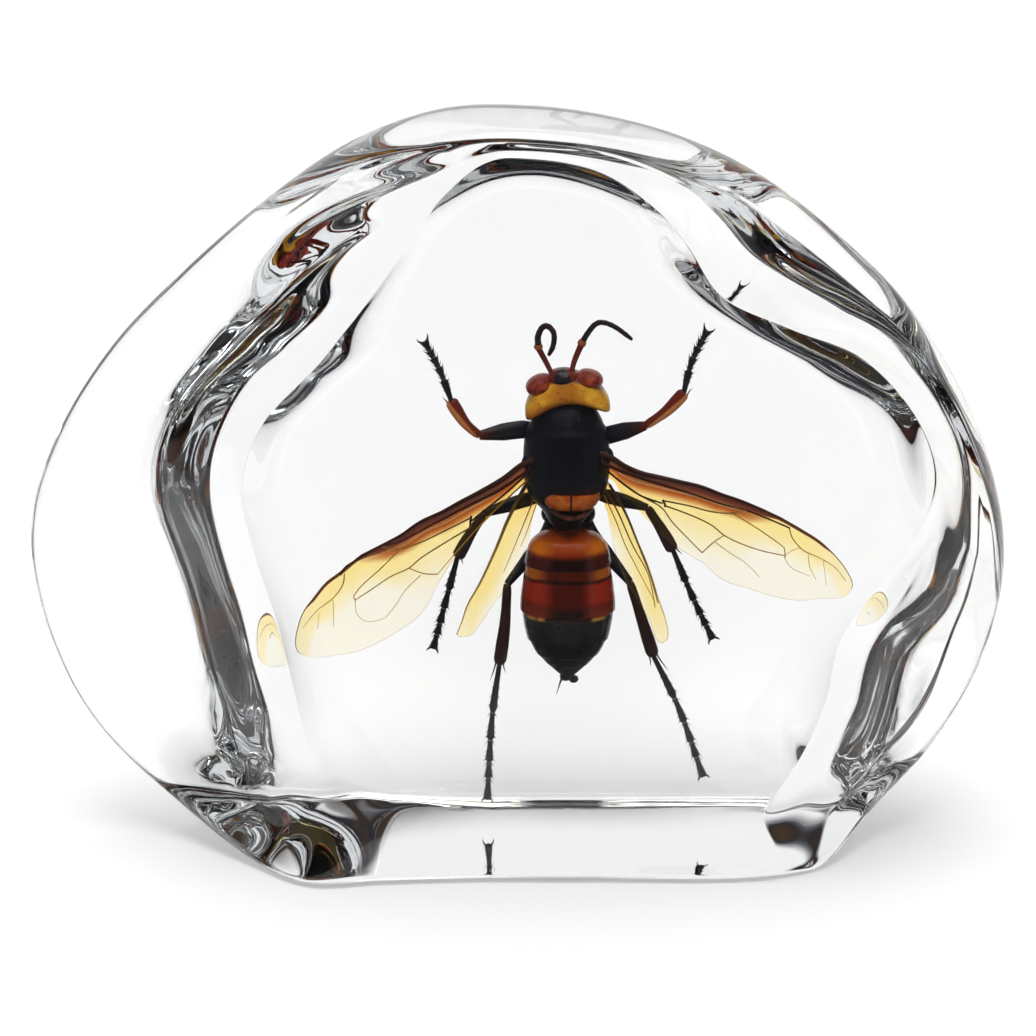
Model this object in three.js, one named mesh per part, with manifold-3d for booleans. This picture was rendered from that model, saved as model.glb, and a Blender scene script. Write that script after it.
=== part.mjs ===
// A giant hornet cast in a free-form block of clear resin that stands on its flat base.
// Millimetres, +Z up. The polished window faces -Y and leans back; the hornet shows its back through it.
import * as THREE from 'three';
import { mergeVertices } from 'three/addons/utils/BufferGeometryUtils.js';
import Module from 'manifold-3d';

const wasm = await Module();
wasm.setup();

const { lerp, smoothstep, degToRad } = THREE.MathUtils;

// ---------------------------------------------------------------- driving dimensions

const THICKNESS = 28; // from the window to the back face
const LEAN = degToRad(8); // the whole block leans back by this much
const WINDOW_CENTRE = [8, 42]; // x, z
const BACK_CENTRE = [2, 38]; // x, z

const PARTING_DEPTH = 19.5; // depth of the plane that parts the block through the hornet
const PARTING_GAP = 0.2;
const POCKET_CLEARANCE = 0.3; // all round the hornet

const BASE_EDGE_FRONT = 1.2; // rounding of the base's front edge
const BASE_EDGE_BACK = 1.5; // rounding of the base's back edge
const RIM_INSET_FRONT = 3.5; // how far the rim's nose curves in towards the window
const RIM_INSET_BACK = 4; // how far it curves in towards the back face
const RIM_SHARE_FRONT = 0.45; // share of the rim's depth taken by the front curve
const RIM_SHARE_BACK = 0.45; // and by the back curve
const BASE_BLEND_HEIGHT = 8; // the base's tight edges give way to the round nose over this height
const NARROW_LEDGE = 1.5; // a ledge between window and rim this narrow has a tight edge
const BROAD_LEDGE = 8; // and one this broad has the full nose
const FRONT_WALL = { rounding: 0.35, ease: 1.4 }; // rounding at its top, and how it eases to level
const BACK_WALL = { rounding: 1.5, ease: 1.3 };

// The block's outline, clockwise from the top as seen from the front. Each station has the ridge round the window
// and the rim beside it (x, z), with the drop and the length of the wall behind the ridge. Then it has the edge of
// the back's flat (x, z), with the fall and the slope's length of the wall there.
const STATIONS = [
  { ridge: [1, 79], rim: [1, 81.6], drop: 0.6, wall: 2.7, back: [1, 69.7], fall: 7.5, slope: 9.9 },
  { ridge: [8.5, 77.6], rim: [10.2, 80.5], drop: 1.4, wall: 2.7, back: [7.5, 68.8], fall: 8.3, slope: 9.9 },
  { ridge: [14.4, 73.8], rim: [18.9, 77.9], drop: 4.6, wall: 5.4, back: [12.5, 66.2], fall: 9, slope: 11 },
  { ridge: [18, 69.6], rim: [26.9, 73.8], drop: 9.2, wall: 9.5, back: [15.3, 61.3], fall: 10.5, slope: 12.1 },
  { ridge: [21.8, 64.3], rim: [34.6, 68.1], drop: 10.4, wall: 12.2, back: [19, 57.6], fall: 12, slope: 12.1 },
  { ridge: [29, 61], rim: [42, 61.2], drop: 9.2, wall: 12.2, back: [24.5, 54.2], fall: 11.3, slope: 11 },
  { ridge: [36.5, 58], rim: [47.5, 53.5], drop: 6.3, wall: 9.5, back: [31.4, 50.6], fall: 9, slope: 9.9 },
  { ridge: [42.3, 52], rim: [51.1, 46.5], drop: 5.2, wall: 8.1, back: [36.8, 46.3], fall: 7.5, slope: 9.9 },
  { ridge: [44.7, 45.5], rim: [53.4, 39.3], drop: 4.6, wall: 8.1, back: [39.2, 40.3], fall: 7.5, slope: 9.9 },
  { ridge: [43.3, 39.3], rim: [54.3, 32.5], drop: 6.3, wall: 9.5, back: [39.1, 34.8], fall: 8.3, slope: 11 },
  { ridge: [38.8, 33.2], rim: [53.9, 26.3], drop: 9.2, wall: 12.2, back: [37.1, 29.3], fall: 10.5, slope: 13.2 },
  { ridge: [35, 27.3], rim: [52.2, 20], drop: 10.9, wall: 13.5, back: [34.8, 24.6], fall: 12.6, slope: 14.3 },
  { ridge: [33.5, 20.5], rim: [49.3, 14.3], drop: 10.9, wall: 13.5, back: [32.7, 19.4], fall: 13.5, slope: 14.3 },
  { ridge: [30.8, 14], rim: [45.2, 8.4], drop: 9.8, wall: 12.2, back: [31.1, 14.1], fall: 12, slope: 13.2 },
  { ridge: [27, 8], rim: [39.7, 3.8], drop: 6.9, wall: 10.8, back: [29.6, 9.5], fall: 7.5, slope: 9.9 },
  { ridge: [28, 3.4], rim: [33, 0], drop: 2.3, wall: 4, back: [29.5, 2.6], fall: 1, slope: 5 },
  { ridge: [22, 2.2], rim: [24, 0], drop: 0, wall: 2, back: [22, 2], fall: 0, slope: 4 },
  { ridge: [9, 2.4], rim: [9, 0], drop: 0, wall: 2, back: [9, 2], fall: 0, slope: 4 },
  { ridge: [4.6, 7], rim: [3.5, 0], drop: 0, wall: 4, back: [3.5, 2], fall: 0, slope: 4 },
  { ridge: [-4, 9.4], rim: [-5, 0], drop: 0, wall: 6, back: [-5, 2], fall: 0, slope: 4 },
  { ridge: [-13, 10.3], rim: [-15, 0], drop: -0.6, wall: 7, back: [-13, 2.6], fall: 0.8, slope: 5 },
  { ridge: [-19.2, 11.8], rim: [-23.5, 0], drop: -1.2, wall: 10.8, back: [-17, 7.6], fall: 3, slope: 7.7 },
  { ridge: [-22.7, 15.8], rim: [-31.4, 1.1], drop: 4.6, wall: 12.2, back: [-20.1, 11.8], fall: 7.5, slope: 9.9 },
  { ridge: [-24.3, 21.5], rim: [-40.9, 5.9], drop: 10.4, wall: 13.5, back: [-22.8, 18.2], fall: 12.6, slope: 13.2 },
  { ridge: [-26, 29], rim: [-48.8, 14.5], drop: 11.5, wall: 14.8, back: [-24.3, 26], fall: 13.5, slope: 14.3 },
  { ridge: [-28.4, 37], rim: [-53.5, 25.5], drop: 11.5, wall: 14.8, back: [-26.2, 33.4], fall: 12.6, slope: 14.3 },
  { ridge: [-29.6, 44], rim: [-54.4, 36], drop: 10.9, wall: 14.8, back: [-26.4, 38.5], fall: 12, slope: 14.3 },
  { ridge: [-27.3, 50.8], rim: [-51.1, 45.9], drop: 10.9, wall: 14.8, back: [-24.7, 43.8], fall: 12, slope: 14.3 },
  { ridge: [-21, 57.5], rim: [-45, 55.3], drop: 10.9, wall: 14.8, back: [-19.9, 48.5], fall: 12, slope: 14.3 },
  { ridge: [-16, 63.8], rim: [-37.3, 63.2], drop: 10.9, wall: 14.8, back: [-14.9, 53], fall: 12, slope: 14.3 },
  { ridge: [-11.7, 69.6], rim: [-28.3, 70.9], drop: 9.8, wall: 14.8, back: [-11.8, 60.3], fall: 11.3, slope: 14.3 },
  { ridge: [-8, 74.8], rim: [-18.8, 77.4], drop: 5.8, wall: 10.8, back: [-8, 65.6], fall: 9, slope: 12.1 },
  { ridge: [-3.6, 78.4], rim: [-8.8, 81.1], drop: 1.8, wall: 5.4, back: [-3.6, 68.8], fall: 7.5, slope: 11 },
];

const STEPS_PER_STATION = 2;
const WALL_STEPS = [0, 0.15, 0.45, 0.95]; // shares of the front wall's length
const BACK_WALL_STEPS = [0.95, 0.6, 0.25, 0]; // and of the back wall's
const CURVE_STEPS = 2; // facets in each of the rim's two quarter curves

// ---------------------------------------------------------------- the hornet (x, depth behind the window, z)

const AXIS_X = 5.5; // the body's midline
const BODY_DEPTH = 19.8;
const WING_DEPTH = 17.2;
const WING_THICKNESS = 0.3;

const BODY_SIDES = 12; // facets round the body
const POCKET_SIDES = 10; // and round its room in the resin

const HEAD = { centre: [5.3, 19.6, 49.1], radii: [4.7, 2.9, 2.9], roll: degToRad(5) };
const EYES = [
  { centre: [1.9, 18.9, 50.3], radii: [1.5, 2.3, 1.5], roll: degToRad(35) },
  { centre: [8.1, 18.9, 51], radii: [1.5, 2.3, 1.5], roll: degToRad(-35) },
];

// Half widths against height, from the front end to the tail end.
const THORAX = { flat: 0.88, profile: [[0, 48.2], [2.6, 47.6], [4, 46.2], [4.65, 44], [4.8, 41.5], [4.65, 39.2],
  [4.1, 37.6], [3.1, 36.2], [2.7, 35.2], [1.6, 34.2], [0, 33.9]] };
const PETIOLE = { flat: 1, profile: [[0, 34.9], [1.2, 34.4], [1.2, 33.2], [0, 32.9]] };
const ABDOMEN = { flat: 0.86, profile: [[0, 34], [2, 33.8], [3.6, 33.1], [4.5, 31.7], [4.9, 30.1], [4.8, 29.7],
  [5.3, 27.6], [5.45, 25.5], [5.3, 25.2], [5.15, 23.3], [4.75, 21.9], [4.55, 21.6], [3.6, 20], [2.4, 18.6],
  [1.1, 17.4], [0, 17.1]] };
const STING = { start: [5.2, 20.2, 17.6], end: [4.4, 20.6, 14.8], radius: 0.25 };

const ANTENNAE = [
  {
    scape: [[3.7, 18.4, 51.2], [2.3, 18.2, 54.1]],
    flagellum: [[2.4, 18.2, 53.9], [2.1, 17.9, 55.2], [2.6, 17.5, 56.6], [3.4, 17, 57], [4, 16.7, 56.1],
      [3.8, 16.6, 54.7], [3.3, 16.6, 53.6]],
  },
  {
    scape: [[5.9, 18.4, 51.4], [6.3, 18.3, 52.8], [7.1, 18.2, 54.7]],
    flagellum: [[7, 18.2, 54.5], [7.7, 18, 55.7], [8.6, 17.8, 57], [9.7, 17.6, 57.2], [11.2, 17.6, 56.4],
      [12.7, 17.6, 55.2]],
  },
];
const SCAPE_RADII = [0.36, 0.3, 0.42];
const FLAGELLUM_RADII = [0.36, 0.32, 0.32, 0.32, 0.28, 0.24, 0.18];

// Each leg runs hip, knee, ankle, toe.
const LEGS = [
  {
    femur: [[2, 22, 44.4], [0.6, 21.4, 44.7], [-4.3, 20.3, 44.4]], girth: 0.95,
    tibia: [[-4.3, 20.3, 44.4], [-5.7, 20, 46.1], [-7.4, 20, 48.3]],
    tarsus: [[-7.4, 20, 48.3], [-8.7, 20, 51.8], [-10.4, 20, 55]],
  },
  {
    femur: [[9, 22, 43.6], [9.9, 21.4, 44.1], [14.2, 20.3, 45.5]], girth: 0.95,
    tibia: [[14.2, 20.3, 45.5], [16.7, 20, 47.6], [18.4, 20, 49.2]],
    tarsus: [[18.4, 20, 49.2], [19.3, 20, 52.8], [21, 20, 56.2]],
  },
  {
    femur: [[2.8, 22.6, 37], [0.2, 22, 36.5], [-3.9, 20.6, 35.5]], girth: 0.75,
    tibia: [[-3.8, 20.6, 35.5], [-5.4, 20.2, 33.2], [-6.8, 20, 30.7]],
    tarsus: [[-6.8, 20, 30.7], [-7.9, 20, 26.6], [-9.6, 20, 20.2]],
  },
  {
    femur: [[8.4, 22.6, 37.3], [10.4, 22, 37], [14.5, 20.6, 36.2]], girth: 0.75,
    tibia: [[14.5, 20.6, 36.2], [16.1, 20.2, 33.8], [17.4, 20, 31.5]],
    tarsus: [[17.4, 20, 31.5], [19.6, 20, 26.3], [22, 20, 21.3]],
  },
  {
    femur: [[4, 21.8, 36], [1.6, 23.4, 31.4], [-1.2, 21, 27.4]], girth: 0.8,
    tibia: [[-1.2, 21, 27.4], [-1.5, 20.3, 22.8], [-2.1, 20, 18.5]],
    tarsus: [[-2.1, 20, 18.5], [-3, 20, 11.6], [-3.5, 20, 2.6]],
  },
  {
    femur: [[7.2, 21.8, 36], [10, 23.4, 31.6], [12.6, 21, 27.6]], girth: 0.85,
    tibia: [[12.6, 21, 27.6], [14.1, 20.3, 23.1], [15.3, 20, 19.4]],
    tarsus: [[15.3, 20, 19.4], [18.3, 20, 13.2], [21.1, 20, 5.3]],
  },
];
const FEMUR_RADII = [0.8, 1, 0.9, 0.5]; // shares of the leg's girth
const ROOT_DEPTH = 0.17; // every rod starts this far inside what it grows from
const TIBIA_RADII = [0.42, 0.5, 0.6];
const TOE_COUNT = 5;
const TOE_RADII = [0.24, 0.44]; // each tarsal joint flares from one to the other
const TOE_NARROW_AT = 0.08; // share of a joint's length where it is narrowest
const TOE_FLARE_AT = 0.85; // and where it is widest
const CLAW_LENGTH = 1;
const CLAW_SPREAD = degToRad(40);
const CLAW_RADIUS = 0.2;
const SPUR_LENGTH = 1.2;
const SPUR_ANGLE = degToRad(25);
const SPUR_REACH = 0.8; // how far the spur's tip stands off the tarsus
const SPUR_SHARE = 0.12; // share of the tarsus along which the spur lies
const CLAW_ROOT_SHARE = 0.02; // the claws meet this far before the leg's end
const CLAW_ROOM = [1.4, 0.7, 1.4]; // half sizes of the room round the claws
const TARSUS_ROOM_SHARE = 0.6; // the tarsus's room has a ring at this share of its length

// Wing outlines (x, z) run from the root along the leading edge to the tip and back.
const WINGS = [
  {
    depth: WING_DEPTH, costa: 6,
    outline: [[3.2, 42.8], [0.6, 41.9], [-1.6, 40.4], [-8.5, 36.6], [-13.1, 34], [-19.8, 29.9], [-24.1, 25.2], [-25, 21.6],
      [-22.7, 20.1], [-16.7, 21.3], [-11.3, 24.6], [-7.4, 30.9], [-3.6, 35.6], [2.8, 40.4]],
  },
  {
    depth: WING_DEPTH, costa: 6,
    outline: [[7.8, 43.6], [10.4, 42.5], [13.7, 41], [20.3, 39.5], [27, 37], [33.7, 33.3], [36.8, 29.9], [37.3, 27.8],
      [33.9, 26.7], [27.7, 27.3], [22.1, 29.5], [17.7, 32.7], [13.1, 37.2], [8.4, 41.4]],
  },
  {
    depth: WING_DEPTH + 1.1, costa: 3,
    outline: [[1.8, 40.4], [-1.1, 35.5], [-4.2, 28.4], [-6.9, 22.4], [-5.2, 22.2], [-3.1, 25.3], [0.3, 31],
      [1.6, 35], [2.8, 39.4]],
  },
  {
    depth: WING_DEPTH + 1.1, costa: 3,
    outline: [[9.6, 40.4], [12.2, 36.1], [14.3, 31], [16.9, 22.5], [15.8, 21.4], [13.7, 25.9], [10.9, 31.6],
      [9.8, 35.6], [9, 39.6]],
  },
];
const COSTA_RADII = [0.42, 0.4, 0.36, 0.3, 0.22];
const WING_POINTS = 17;

// ---------------------------------------------------------------- geometry helpers

// A closed three.js geometry as a manifold solid.
function solid(geometry) {
  const bare = geometry.clone();
  bare.deleteAttribute('normal');
  bare.deleteAttribute('uv');
  const welded = mergeVertices(bare);
  const corners = welded.index.array;
  const kept = [];
  for (let i = 0; i < corners.length; i += 3) {
    const [a, b, c] = corners.slice(i, i + 3);
    if (a !== b && b !== c && c !== a) kept.push(a, b, c);
  }
  const mesh = new wasm.Mesh({
    numProp: 3,
    vertProperties: welded.attributes.position.array,
    triVerts: new Uint32Array(kept),
  });
  return new wasm.Manifold(mesh);
}

function join(solids) {
  return solids.reduce((all, next) => all.add(next));
}

// A manifold solid as a three.js geometry.
function geometryOf(manifold) {
  const { vertProperties, triVerts } = manifold.getMesh();
  const geometry = new THREE.BufferGeometry();
  geometry.setAttribute('position', new THREE.BufferAttribute(vertProperties, 3));
  geometry.setIndex(new THREE.BufferAttribute(triVerts, 1));
  return geometry;
}

// Point i + share of a closed list of numbers, by a Catmull-Rom spline.
function splineValue(values, at) {
  const count = values.length;
  const i = Math.floor(at);
  const t = at - i;
  const [a, b, c, d] = [-1, 0, 1, 2].map((step) => values[(i + step + count) % count]);
  return b + 0.5 * t * (c - a + t * (2 * a - 5 * b + 4 * c - d + t * (3 * (b - c) + d - a)));
}

// Points of a flat polygon or profile moved outwards by a distance; outwards is to the left of the way it runs.
function offset(points, distance, closed) {
  const last = points.length - 1;
  return points.map(([x, y], i) => {
    const before = points[i > 0 ? i - 1 : closed ? last : 0];
    const after = points[i < last ? i + 1 : closed ? 0 : last];
    const along = Math.hypot(after[0] - before[0], after[1] - before[1]);
    const nx = -(after[1] - before[1]) / along;
    const ny = (after[0] - before[0]) / along;
    return [x + nx * distance, y + ny * distance];
  });
}

function ellipsoid({ centre, radii, roll }, grow, around, down) {
  const geometry = new THREE.SphereGeometry(1, around, down);
  geometry.scale(radii[0] + grow, radii[1] + grow, radii[2] + grow);
  geometry.rotateY(roll);
  geometry.translate(...centre);
  return solid(geometry);
}

// A body section turned about the hornet's midline and flattened from back to belly.
function barrel({ profile, flat }, grow, sides) {
  const tailFirst = profile.toReversed();
  const grown = offset(tailFirst, -grow, false);
  grown[0] = [0, tailFirst[0][1] - grow];
  grown[grown.length - 1] = [0, tailFirst.at(-1)[1] + grow];
  const points = grown.map(([radius, z]) => new THREE.Vector2(Math.max(radius, 0), z));
  const geometry = new THREE.LatheGeometry(points, sides);
  geometry.rotateX(Math.PI / 2);
  geometry.scale(1, -flat, 1);
  geometry.index.array.reverse();
  geometry.translate(AXIS_X, BODY_DEPTH, 0);
  return solid(geometry);
}

// Places along a smooth line, each by its share of the way and with a radius there.
function ringsAlong(points, rings) {
  const line = new THREE.CatmullRomCurve3(points.map((point) => new THREE.Vector3(...point)));
  return rings.map(([share, radius]) => ({ centre: line.getPointAt(share), radius }));
}

// Radii spaced evenly along a line.
function even(radii) {
  return radii.map((radius, i) => [i / (radii.length - 1), radius]);
}

// A closed round rod through rings; its first end goes a little deeper into what it grows from.
function rod(rings, grow, sides) {
  const last = rings.length - 1;
  const geometry = new THREE.CylinderGeometry(1, 1, 1, sides, last);
  const place = geometry.attributes.position;
  const depthwise = new THREE.Vector3(0, 1, 0);
  for (let i = 0; i < place.count; i += 1) {
    const ring = Math.round((0.5 - place.getY(i)) * last);
    const { centre, radius } = rings[ring];
    const before = rings[Math.max(ring - 1, 0)].centre;
    const after = rings[Math.min(ring + 1, last)].centre;
    const tangent = after.clone().sub(before).normalize();
    const across = tangent.clone().cross(depthwise).normalize();
    const up = tangent.clone().cross(across);
    const longer = ring === 0 ? -grow - ROOT_DEPTH : ring === last ? grow : 0;
    const point = centre.clone().addScaledVector(tangent, longer);
    point.addScaledVector(across, place.getX(i) * (radius + grow));
    point.addScaledVector(up, place.getZ(i) * (radius + grow));
    place.setXYZ(i, point.x, point.y, point.z);
  }
  return solid(geometry);
}

// ---------------------------------------------------------------- the block

// The block's section at a place between stations, with the widths and depths of the rim's two curves.
function stationAt(at) {
  const value = (pick) => splineValue(STATIONS.map(pick), at);
  const ridge = [value((s) => s.ridge[0]), value((s) => s.ridge[1])];
  const rim = [value((s) => s.rim[0]), Math.max(value((s) => s.rim[1]), 0)];
  const back = [value((s) => s.back[0]), value((s) => s.back[1])];
  const drop = value((s) => s.drop);
  const backDrop = Math.max(value((s) => s.fall), 0);
  const ledge = Math.hypot(rim[0] - ridge[0], rim[1] - ridge[1]);
  const backLedge = Math.hypot(rim[0] - back[0], rim[1] - back[1]);
  const lift = smoothstep(rim[1], 0, BASE_BLEND_HEIGHT);
  const breadth = smoothstep(ledge, NARROW_LEDGE, BROAD_LEDGE);
  const depth = THICKNESS - drop - backDrop;
  const frontWidth = lerp(BASE_EDGE_FRONT, Math.min(RIM_INSET_FRONT, ledge / 2), lift);
  const backWidth = lerp(BASE_EDGE_BACK, Math.min(RIM_INSET_BACK, backLedge / 2), lift);
  return {
    ridge,
    rim,
    back,
    drop,
    backDrop,
    ledge,
    backLedge,
    frontWidth,
    backWidth,
    frontDepth: lerp(BASE_EDGE_FRONT, RIM_SHARE_FRONT * depth, lift * breadth),
    backDepth: lerp(BASE_EDGE_BACK, RIM_SHARE_BACK * depth, lift),
    wall: Math.min(value((s) => s.wall), ledge - frontWidth),
    slope: Math.min(value((s) => s.slope), backLedge - backWidth),
  };
}

// A point on the way from one place (x, z) to another, at a depth.
function between(start, end, reach, depth) {
  return [lerp(start[0], end[0], reach), depth, lerp(start[1], end[1], reach)];
}

// How far a wall has fallen at a distance from its top.
function fallen(gone, fall, length, { rounding, ease }) {
  const rounded = gone ** 2 / (gone + 2 * rounding);
  return fall * (1 - (1 - Math.min(rounded / length, 1)) ** ease);
}

function wallPoint({ ridge, rim, drop, wall, ledge, frontWidth }, share) {
  const gone = share * Math.min(wall + 2 * FRONT_WALL.rounding, ledge - frontWidth);
  return between(ridge, rim, gone / ledge, fallen(gone, drop, wall, FRONT_WALL));
}

function frontCurvePoint({ ridge, rim, drop, ledge, frontWidth, frontDepth }, angle) {
  const reach = 1 - (frontWidth / ledge) * (1 - Math.sin(angle));
  return between(ridge, rim, reach, drop + frontDepth * (1 - Math.cos(angle)));
}

function backCurvePoint({ back, rim, backDrop, backLedge, backWidth, backDepth }, angle) {
  const reach = 1 - (backWidth / backLedge) * (1 - Math.cos(angle));
  return between(back, rim, reach, THICKNESS - backDrop - backDepth * (1 - Math.sin(angle)));
}

function backWallPoint({ back, rim, backDrop, slope, backLedge, backWidth }, share) {
  const gone = share * Math.min(slope + 2 * BACK_WALL.rounding, backLedge - backWidth);
  return between(back, rim, gone / backLedge, THICKNESS - fallen(gone, backDrop, slope, BACK_WALL));
}

// Rows of the block's skin from the middle of the window, over ridge and rim, to the middle of the back.
function skinRows() {
  const quarter = Array.from({ length: CURVE_STEPS + 1 }, (_, i) => (i / CURVE_STEPS) * (Math.PI / 2));
  return [
    () => [WINDOW_CENTRE[0], 0, WINDOW_CENTRE[1]],
    ...WALL_STEPS.map((share) => (station) => wallPoint(station, share)),
    ...quarter.map((angle) => (station) => frontCurvePoint(station, angle)),
    ...quarter.map((angle) => (station) => backCurvePoint(station, angle)),
    ...BACK_WALL_STEPS.map((share) => (station) => backWallPoint(station, share)),
    () => [BACK_CENTRE[0], THICKNESS, BACK_CENTRE[1]],
  ];
}

function block() {
  const rows = skinRows();
  const around = STATIONS.length * STEPS_PER_STATION;
  const geometry = new THREE.SphereGeometry(1, around, rows.length - 1);
  const place = geometry.attributes.position;
  for (let i = 0; i < place.count; i += 1) {
    const row = Math.floor(i / (around + 1));
    const column = i % (around + 1) % around;
    place.setXYZ(i, ...rows[row](stationAt(column / STEPS_PER_STATION)));
  }
  geometry.index.array.reverse();
  return solid(geometry);
}

// ---------------------------------------------------------------- the hornet's members

function wingBlade({ outline, depth }, thickness, grow) {
  const edge = new THREE.SplineCurve(outline.map(([x, z]) => new THREE.Vector2(x, z)));
  const points = edge.getSpacedPoints(WING_POINTS);
  const outwards = THREE.ShapeUtils.isClockWise(points) ? grow : -grow;
  const grown = offset(points.map(({ x, y }) => [x, y]), outwards, true);
  const shape = new THREE.Shape(grown.map(([x, z]) => new THREE.Vector2(x, z)));
  const blade = new THREE.ExtrudeGeometry(shape, { depth: thickness, bevelEnabled: false });
  blade.rotateX(Math.PI / 2);
  blade.translate(0, depth + thickness / 2, 0);
  return solid(blade);
}

// A thin membrane with a rod along its leading edge.
function wing(form) {
  const leading = form.outline.slice(0, form.costa).map(([x, z]) => [x, form.depth, z]);
  return wingBlade(form, WING_THICKNESS, 0).add(rod(ringsAlong(leading, even(COSTA_RADII)), 0, 5));
}

function wingRoom(form) {
  const reach = COSTA_RADII[0] + POCKET_CLEARANCE;
  return wingBlade(form, 2 * reach, reach);
}

function leg({ femur, girth, tibia, tarsus }) {
  const line = new THREE.CatmullRomCurve3(tarsus.map((point) => new THREE.Vector3(...point)));
  const [narrow, flared] = TOE_RADII;
  const toes = Array.from({ length: TOE_COUNT }, (_, i) => [
    [(i + TOE_NARROW_AT) / TOE_COUNT, narrow],
    [(i + TOE_FLARE_AT) / TOE_COUNT, flared],
  ]).flat();
  const limb = [
    ...ringsAlong(femur, even(FEMUR_RADII.map((share) => share * girth))),
    ...ringsAlong(tibia, even(TIBIA_RADII)).slice(1),
    ...ringsAlong(tarsus, [...toes, [1, narrow]]),
  ];
  // A point some way from one end of the tarsus, turned away from its run.
  const beside = (share, length, angle) => {
    const way = line.getTangentAt(share).applyAxisAngle(new THREE.Vector3(0, 1, 0), angle);
    return line.getPointAt(share).addScaledVector(way, length).toArray();
  };
  const claws = [
    beside(1, CLAW_LENGTH, -CLAW_SPREAD),
    beside(1 - CLAW_ROOT_SHARE, 0, 0),
    beside(1, CLAW_LENGTH, CLAW_SPREAD),
  ];
  const spur = [beside(0, 0, 0), beside(0, SPUR_LENGTH, SPUR_ANGLE)];
  return join([
    rod(limb, 0, 5),
    rod(ringsAlong(claws, even([CLAW_RADIUS / 2, CLAW_RADIUS, CLAW_RADIUS / 2])), 0, 4),
    rod(ringsAlong(spur, even([CLAW_RADIUS, CLAW_RADIUS / 2])), 0, 3),
  ]);
}

// The room that a leg takes up in the pocket: a square rod, with a ball round the claws.
function legRoom({ femur, girth, tibia, tarsus }) {
  const square = (radius) => (radius + POCKET_CLEARANCE) * Math.SQRT2 - POCKET_CLEARANCE;
  const ankle = square(TIBIA_RADII.at(-1));
  const flared = square(TOE_RADII[1]);
  const claws = { centre: tarsus.at(-1), radii: CLAW_ROOM, roll: 0 };
  const limb = [
    ...ringsAlong(femur, even(FEMUR_RADII.map(() => square(girth)))),
    ...ringsAlong(tibia, even(TIBIA_RADII.map(() => ankle))).slice(1),
    ...ringsAlong(tarsus, [
      [SPUR_SHARE, square(SPUR_REACH)],
      [2 * SPUR_SHARE, flared],
      [TARSUS_ROOM_SHARE, flared],
      [1, flared],
    ]),
  ];
  return rod(limb, POCKET_CLEARANCE, 4).add(ellipsoid(claws, POCKET_CLEARANCE, 7, 5));
}

function antenna({ scape, flagellum }, grow) {
  const base = rod(ringsAlong(scape, even(SCAPE_RADII)), grow, 5);
  return base.add(rod(ringsAlong(flagellum, even(FLAGELLUM_RADII)), grow, 5));
}

function body(grow, sides) {
  const sting = ringsAlong([STING.start, STING.end], even([STING.radius, STING.radius / 2]));
  return join([
    ellipsoid(HEAD, grow, sides, 8),
    ...EYES.map((eye) => ellipsoid(eye, grow, 8, 6)),
    barrel(THORAX, grow, sides),
    barrel(PETIOLE, grow, sides),
    barrel(ABDOMEN, grow, sides),
    rod(sting, grow, 5),
    ...ANTENNAE.map((each) => antenna(each, grow)),
  ]);
}

// ---------------------------------------------------------------- assembly

const RESIN = new THREE.MeshStandardMaterial({
  name: 'clear_resin', color: 0xf1f6f8, roughness: 0.03, metalness: 0, transparent: true, opacity: 0.35,
});
const HORNET = new THREE.MeshStandardMaterial({ name: 'hornet', color: 0x5a2a10, roughness: 0.4, metalness: 0 });

// Everything at or behind a depth, as a slab larger than the block.
function slabBehind(depth) {
  const size = 4 * THICKNESS + 200;
  const geometry = new THREE.BoxGeometry(size, size, size);
  geometry.translate(0, depth + size / 2, 0);
  return solid(geometry);
}

const whole = block();
const hornet = join([body(0, BODY_SIDES), ...LEGS.map(leg), ...WINGS.map(wing)]);
const pocket = join([body(POCKET_CLEARANCE, POCKET_SIDES), ...LEGS.map(legRoom), ...WINGS.map(wingRoom)]);
const hollow = whole.subtract(pocket);
const front = hollow.subtract(slabBehind(PARTING_DEPTH - PARTING_GAP / 2));
const back = hollow.intersect(slabBehind(PARTING_DEPTH + PARTING_GAP / 2));

// The lean slides each level back in proportion to its height, so the base stays flat.
const lean = new THREE.Matrix4().makeShear(0, 0, 0, 0, 0, Math.tan(LEAN));
const leaning = geometryOf(whole).applyMatrix4(lean);
leaning.computeBoundingBox();
const centre = leaning.boundingBox.getCenter(new THREE.Vector3());

function piece(name, manifold, material) {
  const geometry = geometryOf(manifold).applyMatrix4(lean);
  geometry.translate(-centre.x, -centre.y, 0);
  const flat = geometry.toNonIndexed();
  flat.computeVertexNormals();
  const mesh = new THREE.Mesh(flat, material);
  mesh.name = name;
  return mesh;
}

const group = new THREE.Group();
group.add(piece('resin_front', front, RESIN));
group.add(piece('resin_back', back, RESIN));
group.add(piece('hornet', hornet, HORNET));

export default group;
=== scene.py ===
"""A giant hornet cast in a free-form block of clear resin, dressed over its CAD frame.

Shapes are worked out in millimetres in the block's own upright frame: x across, depth behind the window and z
up. `placed` leans them back, centres them as the CAD does and turns them into metres.
"""
import math

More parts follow.
